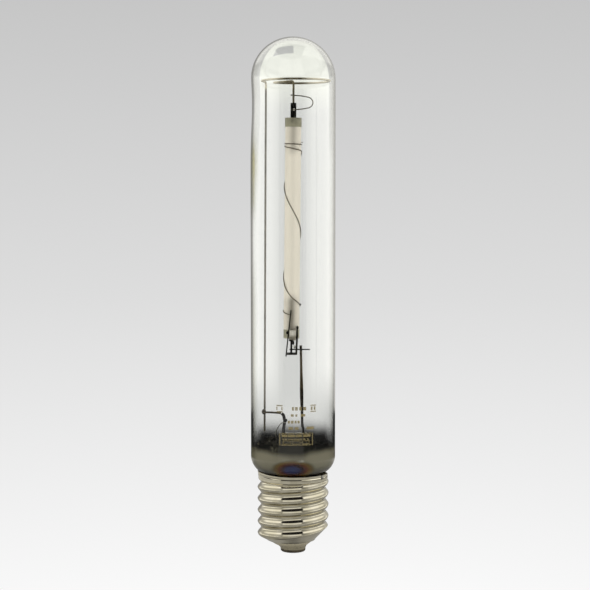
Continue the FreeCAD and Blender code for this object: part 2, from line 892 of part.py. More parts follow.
def make_starting_arm():
    """Straight arm in front of the arc tube that holds the end of the starting wire."""
    return straight_rod(
        "starting_arm",
        Vector(-size.arm_foot_offset.value, arm_depth(), over_foot(size.arm_foot).value),
        Vector(-size.arm_top_offset.value, arm_depth(), over_foot(size.arm_top).value),
        size.arm_diameter,
    )


def make_lower_bracket():
    """Folded strip: a foot under the feedthrough and a leg up the right of the strip."""
    body = new_body("lower_bracket")
    section = new_sketch(body, "section", "XZ_Plane", -size.bracket_back)
    foot = over_foot(size.bracket_foot)
    top = over_foot(size.bracket_top)
    sheet_top = foot + size.bracket_sheet
    foot_end = arm_across(size.bracket_foot + size.bracket_sheet)
    foot_end = foot_end + size.arm_diameter / 2 + 2 * size.weld_gap
    leg_foot = size.bracket_foot_reach
    leg_top = leg_foot + size.bracket_lean
    outline(section, [
        Corner(foot_end, foot),
        Corner(leg_foot, foot),
        Corner(leg_top, top),
        Corner(leg_top - size.bracket_leg_sheet, top),
        Corner(leg_foot - size.bracket_leg_sheet, sheet_top),
        Corner(foot_end, sheet_top),
    ])
    pad(body, section, size.bracket_depth)
    front = size.bracket_back - size.bracket_depth
    above = top + size.bracket_sheet
    knee = over_foot(size.bracket_knee)
    relief = new_sketch(body, "relief", "YZ_Plane", leg_top + size.bracket_sheet)
    outline(relief, [
        Corner(front + size.bracket_leg_depth, knee + size.bracket_leg_depth),
        Corner(size.bracket_back + size.bracket_sheet, knee - size.bracket_leg_depth / 2),
        Corner(size.bracket_back + size.bracket_sheet, above),
        Corner(front + size.bracket_leg_depth, above),
    ])
    pocket(body, relief, size.bracket_lean + size.bracket_leg_sheet + 2 * size.bracket_sheet)
    return body


def make_bimetal_strip():
    """Bimetal strip folded over like a hairpin, between the arm and the bracket's leg."""
    body = new_body("bimetal_strip")
    start = arm_across(size.strip_top) + size.arm_diameter / 2 + size.weld_gap
    rise = (size.strip_foot - size.bracket_foot) / (size.bracket_top - size.bracket_foot)
    leg_face = size.bracket_foot_reach - size.bracket_leg_sheet + size.bracket_lean * rise
    width = leg_face - size.arm_clearance - start
    outer = size.strip_bend
    inner = size.strip_bend - size.strip_sheet
    top = over_foot(size.strip_top)
    foot = over_foot(size.strip_foot)
    bend_height = top - outer
    wound = size.plug_diameter / 2 + size.winding_clearance + size.arm_clearance
    back = -(wound + size.strip_sheet)
    middle = back - outer
    front = middle - outer
    section = new_sketch(body, "section", "YZ_Plane", start)
    outline(section, [
        Corner(back, foot + size.strip_sheet),
        Corner(back, bend_height, outer, -1),
        Corner(middle, top, outer, -1),
        Corner(front, bend_height),
        Corner(front, foot),
        Corner(front + size.strip_sheet, foot),
        Corner(front + size.strip_sheet, bend_height, inner, 1),
        Corner(middle, top - size.strip_sheet, inner, 1),
        Corner(back - size.strip_sheet, bend_height),
        Corner(back - size.strip_sheet, foot + size.strip_sheet),
    ])
    pad(body, section, width)
    return body


def shell_side(offset):
    """Corners of the screw shell from its foot to its rim, pressed in by offset."""
    crest = size.thread_diameter / 2 - offset
    root = size.thread_diameter / 2 - size.thread_depth - offset
    collar = size.collar_shell_diameter / 2 - offset
    flat = size.thread_pitch * 0.13
    half = size.thread_pitch / 2
    corners = [Corner(size.shell_foot_diameter / 2 - offset, size.shell_foot)]
    collar_foot = size.shell_rim - size.collar_shell_height
    room = (collar_foot.value - size.thread_foot.value) / size.thread_pitch.value
    for number in range(int(room) + 1):
        crest_height = size.thread_foot + size.thread_pitch * number
        corners.append(Corner(crest, crest_height - flat))
        corners.append(Corner(crest, crest_height + flat))
        if number < int(room):
            corners.append(Corner(root, crest_height + half - flat))
            corners.append(Corner(root, crest_height + half + flat))
    neck = (crest_height + flat + collar_foot) / 2
    corners.append(Corner(root, neck + flat / 2))
    corners.append(Corner(collar, collar_foot + flat))
    corners.append(Corner(collar, size.shell_rim))
    return corners


def make_screw_shell():
    """Thin rolled shell of the cap, with the wire's notch in its rim."""
    body = new_body("screw_shell")
    turn_on_axis(body, "section", shell_side(as_length(0)) + reversed_corners(shell_side(size.shell_sheet)))
    collar = size.collar_shell_diameter / 2
    notch = new_sketch(body, "notch", "YZ_Plane", collar + size.shell_sheet)
    half = size.notch_width / 2
    outline(notch, [
        Corner(-half, size.shell_rim - size.notch_height),
        Corner(half, size.shell_rim - size.notch_height),
        Corner(half, size.shell_rim + size.shell_sheet),
        Corner(-half, size.shell_rim + size.shell_sheet),
    ])
    pocket(body, notch, 4 * size.shell_sheet)
    body.setExpression("Placement.Rotation.Angle", (-size.notch_angle).formula)
    return body


def make_basing_cement():
    """Cement ring between the neck and the shell, slotted for the shell's lead."""
    body = new_body("basing_cement")
    inner = size.neck_diameter / 2 + size.cement_clearance
    outer = size.thread_diameter / 2 - size.thread_depth - size.shell_sheet - size.cement_clearance
    turn_on_axis(body, "section", [
        Corner(inner, size.cement_foot),
        Corner(outer, size.cement_foot),
        Corner(outer, size.cement_top),
        Corner(inner, size.cement_top),
    ])
    slot = new_sketch(body, "slot", "YZ_Plane", outer + size.cement_slot)
    half = size.cement_slot / 2
    outline(slot, [
        Corner(-half, size.cement_foot - size.cement_slot),
        Corner(half, size.cement_foot - size.cement_slot),
        Corner(half, size.cement_top + size.cement_slot),
        Corner(-half, size.cement_top + size.cement_slot),
    ])
    pocket(body, slot, outer - inner + 2 * size.cement_slot)
    body.setExpression("Placement.Rotation.Angle", (-size.notch_angle).formula)
    return body


def make_cap_insulator():
    """Moulded insulator that closes the cap round the centre contact."""
    hole = size.cap_wire_diameter / 2 + size.cement_clearance
    inset = size.shell_sheet + size.cement_clearance
    foot = size.shell_foot_diameter / 2 - inset
    crest = size.thread_diameter / 2 - inset
    crest_height = size.thread_foot - size.thread_pitch * 0.13
    share = (size.insulator_top - size.shell_foot) / (crest_height - size.shell_foot)
    top_radius = foot + (crest - foot) * share - size.cement_clearance
    contact = size.contact_diameter / 2
    return turned("cap_insulator", [
        Corner(hole, size.contact_height),
        Corner(contact + size.contact_round, size.contact_height),
        Corner(size.insulator_lip_diameter / 2, size.insulator_lip_height),
        Corner(foot - size.cement_clearance, size.shell_foot),
        Corner(top_radius, size.insulator_top),
        Corner(hole, size.insulator_top),
    ])


def make_centre_contact():
    """Round centre contact with a hole for its solder."""
    radius = size.contact_diameter / 2
    hole = size.contact_hole / 2
    return turned("centre_contact", [
        Corner(hole, 0),
        Corner(radius - size.contact_round, 0, size.contact_round, -1),
        Corner(radius, size.contact_round),
        Corner(radius, size.contact_height),
        Corner(hole, size.contact_height),
    ])


def make_centre_solder():
    """Solder that fills the contact's hole, filed flush."""
    radius = size.contact_hole / 2 - size.seal_clearance
    return turned("centre_solder", [
        Corner(0, 0),
        Corner(radius, 0),
        Corner(radius, size.contact_height),
        Corner(0, size.contact_height),
    ])


def make_contact_lead():
    """Wire from the left stem lead down to the centre contact."""
    across = -size.left_lead_offset.value
    end = size.contact_height.value + size.weld_gap.value
    return bent_wire("contact_lead", [
        Vector(across, 0, size.lead_foot.value - size.weld_gap.value),
        Vector(across, 0, size.exhaust_tip.value + size.exhaust_diameter.value),
        Vector(0, 0, size.insulator_top.value + size.cap_wire_bend.value / 2),
        Vector(0, 0, end),
    ], [size.cap_wire_bend.value, size.cap_wire_bend.value / 2], size.cap_wire_diameter)


def make_shell_lead():
    """Wire from the right stem lead under the neck and out through the rim's notch."""
    turn = math.radians(-size.notch_angle.value)
    outward = Vector(math.cos(turn), math.sin(turn), 0)
    bend = size.cap_wire_bend.value
    under = size.neck_foot.value - size.stem_wall.value - bend
    inner = size.neck_diameter.value / 2
    outer = (size.thread_diameter / 2 - size.thread_depth - size.shell_sheet).value
    between = (inner + outer) / 2
    rise = size.shell_rim.value - size.notch_height.value / 2
    end = size.collar_shell_diameter.value / 2
    height = Vector(0, 0, 1)
    return bent_wire("shell_lead", [
        Vector(size.right_lead_offset.value, 0, size.lead_foot.value - size.weld_gap.value),
        Vector(size.right_lead_offset.value, 0, size.neck_foot.value + bend),
        outward * (inner * 0.6) + height * under,
        outward * between + height * under,
        outward * between + height * rise,
        outward * end + height * rise,
    ], [bend, None, bend / 2, size.cap_wire_diameter.value], size.cap_wire_diameter)


def make_rim_solder():
    """Bead of solder over the end of the shell's lead, outside the notch."""
    turn = math.radians(-size.notch_angle.value)
    outward = Vector(math.cos(turn), math.sin(turn), 0)
    base = size.rim_solder_diameter.value / 2
    rise = size.rim_solder_height.value
    radius = (base ** 2 + rise ** 2) / (2 * rise)
    seat = size.collar_shell_diameter.value / 2 + size.weld_gap.value
    height = size.shell_rim.value - size.notch_height.value / 2
    ball = Part.makeSphere(radius, outward * (seat + rise - radius) + Vector(0, 0, height))
    cut = Part.makeCylinder(radius * 2, radius * 2, outward * seat + Vector(0, 0, height), -outward)
    bead = keep(document.addObject("Part::Feature", "rim_solder"), "rim_solder")
    bead.Shape = ball.cut(cut)
    return bead


def make_lamp():
    """Build every sub-part, from the glass inwards and then the cap."""
    make_outer_bulb()
    make_stem()
    make_exhaust_tube()
    make_left_lead()
    make_right_lead()
    make_frame_link()
    make_frame_rod()
    make_flexible_link()
    make_getter()
    make_arc_post()
    make_cross_rod()
    make_arc_tube()
    make_end_plug("upper_end_plug", False, size.plug_diameter, size.feed_diameter)
    make_end_plug("lower_end_plug", True, size.arc_diameter, size.lower_feed_diameter)
    make_upper_feedthrough()
    make_lower_feedthrough()
    inside = size.plug_height + size.plug_spigot + size.seal_clearance
    top = size.arc_length
    make_electrode("upper_electrode", top - inside, top - size.upper_electrode_reach)
    make_electrode("lower_electrode", inside, size.lower_electrode_reach)
    make_amalgam_dose()
    make_starting_wire()
    make_starting_arm()
    make_lower_bracket()
    make_bimetal_strip()
    make_screw_shell()
    make_basing_cement()
    make_cap_insulator()
    make_centre_contact()
    make_centre_solder()
    make_contact_lead()
    make_shell_lead()
    make_rim_solder()


def check_document():
    """Stop if any object failed or any sub-part isn't a sound solid."""
    for thing in document.Objects:
        if "Invalid" in thing.State or "Error" in thing.State:
            raise RuntimeError(f"{thing.Label} failed: {thing.State}")
    for sub_part in sub_parts:
        shape = sub_part.Shape
        if shape.isNull() or not shape.isValid() or not shape.Solids:
            raise RuntimeError(f"{sub_part.Label} has no sound solid")


make_lamp()
document.recompute()
check_document()
os.makedirs("parts", exist_ok=True)
for sub_part in sub_parts:
    sub_part.Shape.exportStep(f"parts/{sub_part.Label}.step")
    print(f"{sub_part.Label}: {len(sub_part.Shape.Solids)} solid, {sub_part.Shape.Volume:.2f} mm3")
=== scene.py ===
"""Looks of the clear tubular sodium vapour lamp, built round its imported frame.

Every length here is in metres, in the lamp's own frame: Z rises along the axis from the tip
of the centre contact, X is to the right and Y points away from the arm of the starting wire.
"""
import logging
import math
from dataclasses import dataclass
from enum import Enum
from typing import Callable, Mapping, Sequence, Union

import bmesh
import bpy
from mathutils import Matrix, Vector, noise

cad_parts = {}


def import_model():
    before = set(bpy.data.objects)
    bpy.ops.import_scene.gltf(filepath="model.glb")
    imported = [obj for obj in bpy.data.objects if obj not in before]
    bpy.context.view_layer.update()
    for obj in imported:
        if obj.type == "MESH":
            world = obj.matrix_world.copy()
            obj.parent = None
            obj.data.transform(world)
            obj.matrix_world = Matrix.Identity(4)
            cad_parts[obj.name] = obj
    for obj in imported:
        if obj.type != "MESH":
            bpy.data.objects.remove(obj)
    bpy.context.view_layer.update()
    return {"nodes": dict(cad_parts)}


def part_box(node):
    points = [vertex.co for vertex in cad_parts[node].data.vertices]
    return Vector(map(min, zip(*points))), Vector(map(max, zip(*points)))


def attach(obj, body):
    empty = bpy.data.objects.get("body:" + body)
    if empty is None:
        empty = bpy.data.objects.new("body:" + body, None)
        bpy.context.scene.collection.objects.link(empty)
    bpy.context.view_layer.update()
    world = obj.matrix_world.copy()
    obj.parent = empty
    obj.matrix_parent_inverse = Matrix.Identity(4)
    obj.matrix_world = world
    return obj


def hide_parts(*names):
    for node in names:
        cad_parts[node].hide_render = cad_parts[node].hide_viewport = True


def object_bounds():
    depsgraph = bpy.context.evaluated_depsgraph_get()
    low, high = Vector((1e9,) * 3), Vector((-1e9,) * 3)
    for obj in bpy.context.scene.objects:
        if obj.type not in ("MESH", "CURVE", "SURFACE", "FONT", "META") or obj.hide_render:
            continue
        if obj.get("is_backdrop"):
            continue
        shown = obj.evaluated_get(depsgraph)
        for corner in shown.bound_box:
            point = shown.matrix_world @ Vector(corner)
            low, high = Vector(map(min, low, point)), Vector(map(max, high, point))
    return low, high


LOG = logging.getLogger("lamp")
BODY = "root"
MM = 0.001
IMAGE_SIDE = 590
FULL_TURN = 2 * math.pi
MERGE_DISTANCE = 1e-5 * MM
SHARP_ANGLE = 40.0
WIRE_SIDES = 16
BEND_STEPS = 7
DROP_UNEVEN = 0.12
DROP_GRAIN = 1.7
DROP_SEED = 400

# Places of the colour sockets on a Mix node
MIX_LOW, MIX_HIGH, MIX_RESULT = 6, 7, 2

Colour = tuple[float, float, float]
Stops = Sequence[tuple[float, Colour]]
Point = tuple[float, float]
Triple = tuple[float, float, float]


def srgb(red: float, green: float, blue: float) -> Colour:
    """A linear colour from the levels that a screen shows, by the sRGB curve.

    Args:
        red: the red level, from 0 to 255.
        green: the green level.
        blue: the blue level.

    Returns:
        The linear colour.
    """
    def linear(level: float) -> float:
        """One channel from screen level to light."""
        share = level / 255
        return share / 12.92 if share <= 0.04045 else ((share + 0.055) / 1.055) ** 2.4
    return linear(red), linear(green), linear(blue)


def grey(level: float) -> Colour:
    """A linear grey from one 0 to 255 level."""
    return srgb(level, level, level)


def blend_number(low: float, high: float, share: float) -> float:
    """The number at a share of the way from low to high."""
    return low + (high - low) * share


def ease(share: float) -> float:
    """A smooth step from 0 to 1."""
    inside = min(max(share, 0.0), 1.0)
    return inside * inside * (3 - 2 * inside)


# Shader maths

class Wire:
    """One output socket of a shader's nodes; arithmetic on it adds Math nodes."""

    def __init__(self, sheet: "NodeSheet", socket: bpy.types.NodeSocket) -> None:
        """Keep the socket and the sheet that its node lies on."""
        self.sheet = sheet
        self.socket = socket

    def _math(self, operation: str, *values: "Value", clamp: bool = False) -> "Wire":
        """Add one Math node."""
        settings = {"operation": operation, "use_clamp": clamp}
        return self.sheet.wire("ShaderNodeMath", settings, dict(enumerate(values)))

    def __add__(self, other: "Value") -> "Wire":
        """This value plus another."""
        return self._math("ADD", self, other)

    def __radd__(self, other: "Value") -> "Wire":
        """A number plus this value."""
        return self._math("ADD", other, self)

    def __sub__(self, other: "Value") -> "Wire":
        """This value less another."""
        return self._math("SUBTRACT", self, other)

    def __rsub__(self, other: "Value") -> "Wire":
        """A number less this value."""
        return self._math("SUBTRACT", other, self)

    def __mul__(self, other: "Value") -> "Wire":
        """This value times another."""
        return self._math("MULTIPLY", self, other)

    def __rmul__(self, other: "Value") -> "Wire":
        """A number times this value."""
        return self._math("MULTIPLY", other, self)

    def __truediv__(self, other: "Value") -> "Wire":
        """This value over another."""
        return self._math("DIVIDE", self, other)

    def __pow__(self, other: "Value") -> "Wire":
        """This value to a power."""
        return self._math("POWER", self, other)

    def clamped(self) -> "Wire":
        """The value held between 0 and 1."""
        return self._math("ADD", self, 0.0, clamp=True)

    def at_most(self, other: "Value") -> "Wire":
        """The smaller of two values."""
        return self._math("MINIMUM", self, other)

    def at_least(self, other: "Value") -> "Wire":
        """The larger of two values."""
        return self._math("MAXIMUM", self, other)

    def size(self) -> "Wire":
        """The value without its sign."""
        return self._math("ABSOLUTE", self)

    def bell(self, middle: float, width: float) -> "Wire":
        """A smooth hump that is 1 at middle and falls to about a third at width from it."""
        away = (self - middle) / width
        return self.sheet.wire("ShaderNodeMath", {"operation": "EXPONENT"}, {0: away * away * -1.0})

    def step(self, low: float, high: float) -> "Wire":
        """A smooth step from 0 to 1.

        Args:
            low: the value up to which it is 0, which may be the larger one.
            high: the value from which it is 1.

        Returns:
            The step.
        """
        settings = {"interpolation_type": "SMOOTHSTEP"}
        limits = {"From Min": min(low, high), "From Max": max(low, high)}
        rise = self.sheet.wire("ShaderNodeMapRange", settings, {"Value": self, **limits})
        return 1.0 - rise if low > high else rise


Value = Union[Wire, float]
Paint = Union[Wire, Colour]


class NodeSheet:
    """The nodes of one material, and the few kinds that a finish needs."""

    def __init__(self, tree: bpy.types.NodeTree) -> None:
        """Start on an empty tree of nodes."""
        self.tree = tree
        tree.nodes.clear()

    def node(self, kind: str, settings: Mapping[str, object] | None = None,
             values: Mapping[object, object] | None = None) -> bpy.types.Node:
        """Add a node.

        Args:
            kind: the node's type.
            settings: its properties, set before its sockets; stops fill a colour ramp.
            values: a number, colour or wire for each input, by name or place.

        Returns:
            The new node.
        """
        made = self.tree.nodes.new(kind)
        for name, setting in (settings or {}).items():
            if name == "stops":
                self._fill_ramp(made.color_ramp, setting)
            else:
                setattr(made, name, setting)
        for place, value in (values or {}).items():
            socket = made.inputs[place]
            if isinstance(value, Wire):
                self.tree.links.new(value.socket, socket)
            elif socket.type == "RGBA" and len(value) == 3:
                socket.default_value = (*value, 1.0)
            else:
                socket.default_value = value
        return made

    def _fill_ramp(self, ramp: bpy.types.ColorRamp, stops: Stops) -> None:
        """Give a colour ramp its stops.

        Args:
            ramp: the ramp as Blender makes it.
            stops: the place and the colour of each stop, from low to high.
        """
        while len(ramp.elements) > 1:
            ramp.elements.remove(ramp.elements[-1])
        for index, (place, colour) in enumerate(stops):
            element = ramp.elements[0] if index == 0 else ramp.elements.new(place)
            element.position = place
            element.color = (*colour, 1.0)

    def wire(self, kind: str, settings: Mapping[str, object] | None = None,
             values: Mapping[object, object] | None = None, out: object = 0) -> Wire:
        """Add a node and give the wire of one of its outputs."""
        return Wire(self, self.node(kind, settings, values).outputs[out])

    def place(self) -> dict[str, Wire]:
        """The point's own place in metres.

        Returns:
            Its x, y and z, and the whole vector as all.
        """
        point = self.wire("ShaderNodeTexCoord", out="Object")
        parts = self.node("ShaderNodeSeparateXYZ", values={0: point})
        split = {name: Wire(self, parts.outputs[index]) for index, name in enumerate("xyz")}
        return {"all": point, **split}

    def stretched(self, point: Wire, scale: Triple) -> Wire:
        """A place with its axes scaled, for grain that runs one way."""
        settings = {"operation": "MULTIPLY"}
        return self.wire("ShaderNodeVectorMath", settings, {0: point, 1: scale})

    def blend(self, share: Wire, low: Value, high: Value) -> Wire:
        """A number between two."""
        return low * (1.0 - share) + share * high

    def speckle(self, point: Wire, scale: float, detail: float = 3.0, rough: float = 0.5) -> Wire:
        """Cloudy noise from 0 to 1."""
        values = {"Vector": point, "Scale": scale, "Detail": detail, "Roughness": rough}
        return self.wire("ShaderNodeTexNoise", values=values)

    def mix(self, share: Value, low: Paint, high: Paint, kind: str = "MIX") -> Wire:
        """A colour between two."""
        settings = {"data_type": "RGBA", "blend_type": kind}
        return self.wire("ShaderNodeMix", settings, {0: share, MIX_LOW: low, MIX_HIGH: high}, out=MIX_RESULT)

    def ramp(self, share: Value, stops: Stops) -> Wire:
        """A colour that runs through stops."""
        return self.wire("ShaderNodeValToRGB", {"stops": stops}, {0: share})

    def bump(self, height: Value, distance: float, strength: float) -> Wire:
        """A normal from a height."""
        values = {"Height": height, "Distance": distance, "Strength": strength}
        return self.wire("ShaderNodeBump", values=values)

    def surface(self, shader: Wire) -> None:
        """Send a shader to the surface."""
        self.node("ShaderNodeOutputMaterial", values={"Surface": shader})


def new_material(name: str) -> tuple[bpy.types.Material, NodeSheet]:
    """Start a material.

    Args:
        name: the material's name.

    Returns:
        The material and its empty sheet of nodes.
    """
    material = bpy.data.materials.new(name)
    material.use_nodes = True
    return material, NodeSheet(material.node_tree)


# Finishes

@dataclass(frozen=True)
class Metal:
    """Drawn, rolled or plated metal.

    With stops by height its colour follows the height, as painted light and shade. A highlight
    colour is a painted highlight above a given height and away from the axis, with less stain
    there. Clouds and drawing marks lay the stain over it.
    """

    name: str
    colour: Colour
    stain: Colour
    rough: float = 0.3
    rough_spread: float = 0.15
    stained: float = 0.45
    mark_depth: float = 0.02 * MM
    grain: Triple = (900.0, 900.0, 90.0)
    metallic: float = 1.0
    heights: Point = (0.0, 1.0)
    light_by_height: Stops = ()
    highlight_colour: Colour | None = None
    highlight_low: Point = (254 * MM, 257 * MM)
    highlight_aside: Point = (3 * MM, 11 * MM)
    highlight_unstained: float = 0.7
    cloud_scale: float = 170.0
    cloud_limits: Point = (0.62, 0.38)
    mark_limits: Point = (0.7, 0.4)
    mark_stain: float = 0.25
    mark_rough: float = 0.6
    mark_bump: float = 0.6

    def material(self) -> bpy.types.Material:
        """Build the finish.

        Returns:
            The material.
        """
        made, sheet = new_material(self.name)
        place = sheet.place()
        colour = self.colour
        # Painted light and shade: colour stops that follow the height.
        if self.light_by_height:
            foot, top = self.heights
            colour = sheet.ramp((place["z"] - foot) / (top - foot), self.light_by_height)
        marks = sheet.speckle(sheet.stretched(place["all"], self.grain), 1.0, detail=4.0, rough=0.6)
        cloud = sheet.speckle(place["all"], self.cloud_scale, detail=4.0)
        stained = cloud.step(*self.cloud_limits) * self.stained
        share = (stained + marks.step(*self.mark_limits) * self.mark_stain).clamped()
        # Painted highlight: a pale colour above a height and away from the axis, with less stain under it.
        if self.highlight_colour:
            highlit = place["z"].step(*self.highlight_low) * place["x"].size().step(*self.highlight_aside)
            colour = sheet.mix(highlit, colour, self.highlight_colour)
            share = share * (1.0 - highlit * self.highlight_unstained)
        rough = cloud * self.rough_spread + marks * (self.rough_spread * self.mark_rough) + self.rough
        sheet.surface(sheet.wire("ShaderNodeBsdfPrincipled", values={
            "Base Color": sheet.mix(share, colour, self.stain),
            "Metallic": self.metallic,
            "Roughness": rough.clamped(),
            "Normal": sheet.bump(marks, self.mark_depth, self.mark_bump),
        }))
        return made


@dataclass(frozen=True)
class Glass:
    """Clear blown or pressed glass with faint draw lines and specks.

    Where edge is above 0, painted shade darkens the glass where it is seen along its wall, in
    place of refraction. The painted shade on the left comes and goes in waves, each with its
    middle, its width and its strength, and a painted refraction streak tints the left edge.
    """

    name: str
    tint: Colour
    index: float = 1.5
    wave: float = 0.007 * MM
    wave_bump: float = 0.5
    gloss: float = 0.5
    draw_grain: Triple = (260.0, 260.0, 12.0)
    speck_scale: float = 900.0
    speck_colour: Colour = (0.9, 0.9, 0.88)
    speck_limits: Point = (0.7, 0.8)
    dull_limits: Point = (0.66, 0.8)
    dull_rough: float = 0.05
    # Painted edge shade: its strength, tint, facing limits, lines and least share.
    edge: float = 0.0
    edge_tint: Colour = srgb(146, 144, 118)
    edge_facing: Point = (0.42, 0.66)
    edge_lines: float = 0.3
    edge_least: float = 0.85
    left_aside: Point = (16 * MM, -16 * MM)
    left_edge_shade: float = 0.75
    left_waves: Sequence[Triple] = (
        (194 * MM, 9 * MM, 0.5), (173 * MM, 20 * MM, -0.75), (233 * MM, 15 * MM, -0.45))
    left_fall: float = 0.35
    right_edge_shade: float = 0.3
    right_rise: float = 0.1
    upper: Point = (225 * MM, 245 * MM)
    dome: Point = (250 * MM, 272 * MM)
    dome_turn: float = 0.08
    dome_fall: float = 0.45
    # Painted refraction streak on the bulb's left edge: its tint, height, place and share.
    refraction_tint: Colour = srgb(150, 142, 72)
    refraction_height: Point = (215 * MM, 13 * MM)
    refraction_aside: Point = (-21.5 * MM, 1.3 * MM)
    refraction_share: float = 0.65

    def edge_shaded(self, sheet: NodeSheet, place: Mapping[str, Wire], colour: Wire, lines: Wire) -> Wire:
        """Lay the painted edge shade and the painted refraction streak over the glass's colour.

        Args:
            sheet: the nodes to add to.
            place: the point's place.
            colour: the clear glass's colour.
            lines: the draw lines.

        Returns:
            The colour with its painted edge shade and streak.
        """
        facing = sheet.wire("ShaderNodeLayerWeight", values={"Blend": 0.5}, out="Facing")
        height = place["z"]
        upper = height.step(*self.upper)
        left = self.left_edge_shade
        for middle, width, strength in self.left_waves:
            left = left + height.bell(middle, width) * strength
        left = left - upper * self.left_fall
        right = upper * self.right_rise + self.right_edge_shade
        side = sheet.blend(place["x"].step(*self.left_aside), right, left).clamped()
        dome = height.step(*self.dome)
        # Painted shade where the glass is seen along its wall, standing in for refraction.
        edge_shade = (facing + dome * self.dome_turn).step(*self.edge_facing) * side
        edge_shade = edge_shade * (1.0 - dome * self.dome_fall) * self.edge
        edge_shade = edge_shade * (lines * self.edge_lines + self.edge_least)
        # Painted refraction streak on the left edge.
        refraction_streak = height.bell(*self.refraction_height) * place["x"].bell(*self.refraction_aside)
        tint = sheet.mix(refraction_streak, self.edge_tint, self.refraction_tint)
        return sheet.mix((edge_shade + refraction_streak * self.refraction_share).clamped(), colour, tint)

    def body(self, sheet: NodeSheet, place: Mapping[str, Wire]) -> Wire:
        """The glass's own shader.

        Args:
            sheet: the nodes to add to.
            place: the point's place.

        Returns:
            The shader.
        """
        lines = sheet.speckle(sheet.stretched(place["all"], self.draw_grain), 1.0, detail=2.0)
        specks = sheet.speckle(place["all"], self.speck_scale, detail=2.0)
        colour = sheet.mix(specks.step(*self.speck_limits), self.tint, self.speck_colour)
        if self.edge > 0:
            colour = self.edge_shaded(sheet, place, colour, lines)
        return sheet.wire("ShaderNodeBsdfPrincipled", values={
            "Base Color": colour,
            "Roughness": specks.step(*self.dull_limits) * self.dull_rough,
            "IOR": self.index,
            "Specular IOR Level": self.gloss,
            "Transmission Weight": 1.0,
            "Normal": sheet.bump(lines, self.wave, self.wave_bump),
        })

    def material(self) -> bpy.types.Material:
        """Build the finish.

        Returns:
            The material.
        """
        made, sheet = new_material(self.name)
        sheet.surface(self.body(sheet, sheet.place()))
        return made


@dataclass(frozen=True)
class GetterFilm:
    """The bulb's inner face, with the dark metal film that the getter left at its lower end.

    The heights are those where the film thins out above, is black, turns brown and is lowest.
    It is thinner at the sides, blotched on the left, and has a coloured spot at the front.
    """

    name: str = "getter_film"
    glass: Glass = Glass("inner_glass", (0.99, 0.99, 0.985))
    top: float = 75.5 * MM
    black_top: float = 61.5 * MM
    black_foot: float = 60.5 * MM
    brown_top: float = 56.0 * MM
    foot: float = 43.0 * MM
    black: Colour = grey(6)
    brown: Colour = srgb(150, 145, 125)
    olive: Colour = srgb(78, 75, 58)
    foot_olive: float = 0.9
    metallic: float = 0.1
    gloss: float = 0.15
    rough: float = 0.34
    rough_spread: float = 0.15
    cover: float = 0.97
    thinning: float = 1.9
    streak_grain: Triple = (70.0, 70.0, 30.0)
    streak_shift: float = 4.0 * MM
    streak_limits: Point = (0.45, 0.75)
    streak_thin: float = 0.12
    side_aside: Point = (17.5 * MM, 21.0 * MM)
    side_rise: Point = (58 * MM, 61 * MM)
    side_thin: float = 0.34
    blotch_scale: float = 330.0
    blotch_limits: Point = (0.5, 0.68)
    blotch_aside: Point = (-4 * MM, -10 * MM)
    blotch_share: float = 0.35
    middle_half: float = 9.0 * MM
    middle_sag: float = 1.3 * MM
    middle_olive: float = 0.3
    neck: Point = (50.5 * MM, 45.0 * MM)
    neck_dark: float = 0.8
    spot_height: float = 49.2 * MM
    spot_wide: float = 11.2 * MM
    spot_tall: float = 5.4 * MM
    spot_uneven: float = 0.25
    spot_edge: Point = (1.12, 0.84)
    spot_front: Point = (-6 * MM, -14 * MM)
    sheen: Stops = (
        (0.0, srgb(28, 44, 98)),
        (0.34, srgb(34, 38, 82)),
        (0.5, srgb(54, 22, 32)),
        (0.64, srgb(84, 40, 10)),
        (0.8, srgb(100, 76, 26)),
        (1.0, srgb(84, 79, 52)),
    )

    def spotted(self, sheet: NodeSheet, place: Mapping[str, Wire], colour: Wire, streak: Wire) -> Wire:
        """Lay the coloured spot over the film's colour.

        Args:
            sheet: the nodes to add to.
            place: the point's place.
            colour: the film's colour.
            streak: the film's streaks, which make the spot's outline uneven.

        Returns:
            The colour with its spot.
        """
        away_x = place["x"] / self.spot_wide
        away_z = (place["z"] - self.spot_height) / self.spot_tall
        away = (away_x * away_x + away_z * away_z) ** 0.5 + (streak - 0.5) * self.spot_uneven
        front = place["y"].step(*self.spot_front)
        return sheet.mix(away.step(*self.spot_edge) * front, colour, sheet.ramp(away, self.sheen))

    def material(self) -> bpy.types.Material:
        """Build the finish.

        Returns:
            The material.
        """
        made, sheet = new_material(self.name)
        place = sheet.place()
        glass = self.glass.body(sheet, place)
        streak = sheet.speckle(sheet.stretched(place["all"], self.streak_grain), 1.0, detail=4.0)
        height = place["z"] + (streak - 0.5) * self.streak_shift
        side = place["x"].size().step(*self.side_aside) * place["z"].step(*self.side_rise)
        cover = height.step(self.top, self.black_top) ** self.thinning * self.cover
        cover = cover * (1.0 - side * self.side_thin)
        middle = place["x"].bell(0.0, self.middle_half)
        lower = (height + middle * self.middle_sag).step(self.black_foot, self.brown_top)
        cover = cover - lower * streak.step(*self.streak_limits) * self.streak_thin
        blotch = sheet.speckle(place["all"], self.blotch_scale, detail=4.0, rough=0.7)
        blotch = blotch.step(*self.blotch_limits) * place["x"].step(*self.blotch_aside)
        colour = sheet.mix(blotch * self.blotch_share, self.black, self.brown)
        colour = sheet.mix(lower, colour, self.brown)
        colour = sheet.mix(height.step(self.brown_top, self.foot) * self.foot_olive, colour, self.olive)
        colour = sheet.mix(middle * self.middle_olive, colour, self.olive)
        colour = sheet.mix(place["z"].step(*self.neck) * self.neck_dark, colour, self.black)
        film = sheet.wire("ShaderNodeBsdfPrincipled", values={
            "Base Color": self.spotted(sheet, place, colour, streak),
            "Metallic": self.metallic,
            "Specular IOR Level": self.gloss,
            "Roughness": streak * self.rough_spread + self.rough,
        })
        sheet.surface(sheet.wire("ShaderNodeMixShader", values={0: cover.clamped(), 1: glass, 2: film}))
        return made


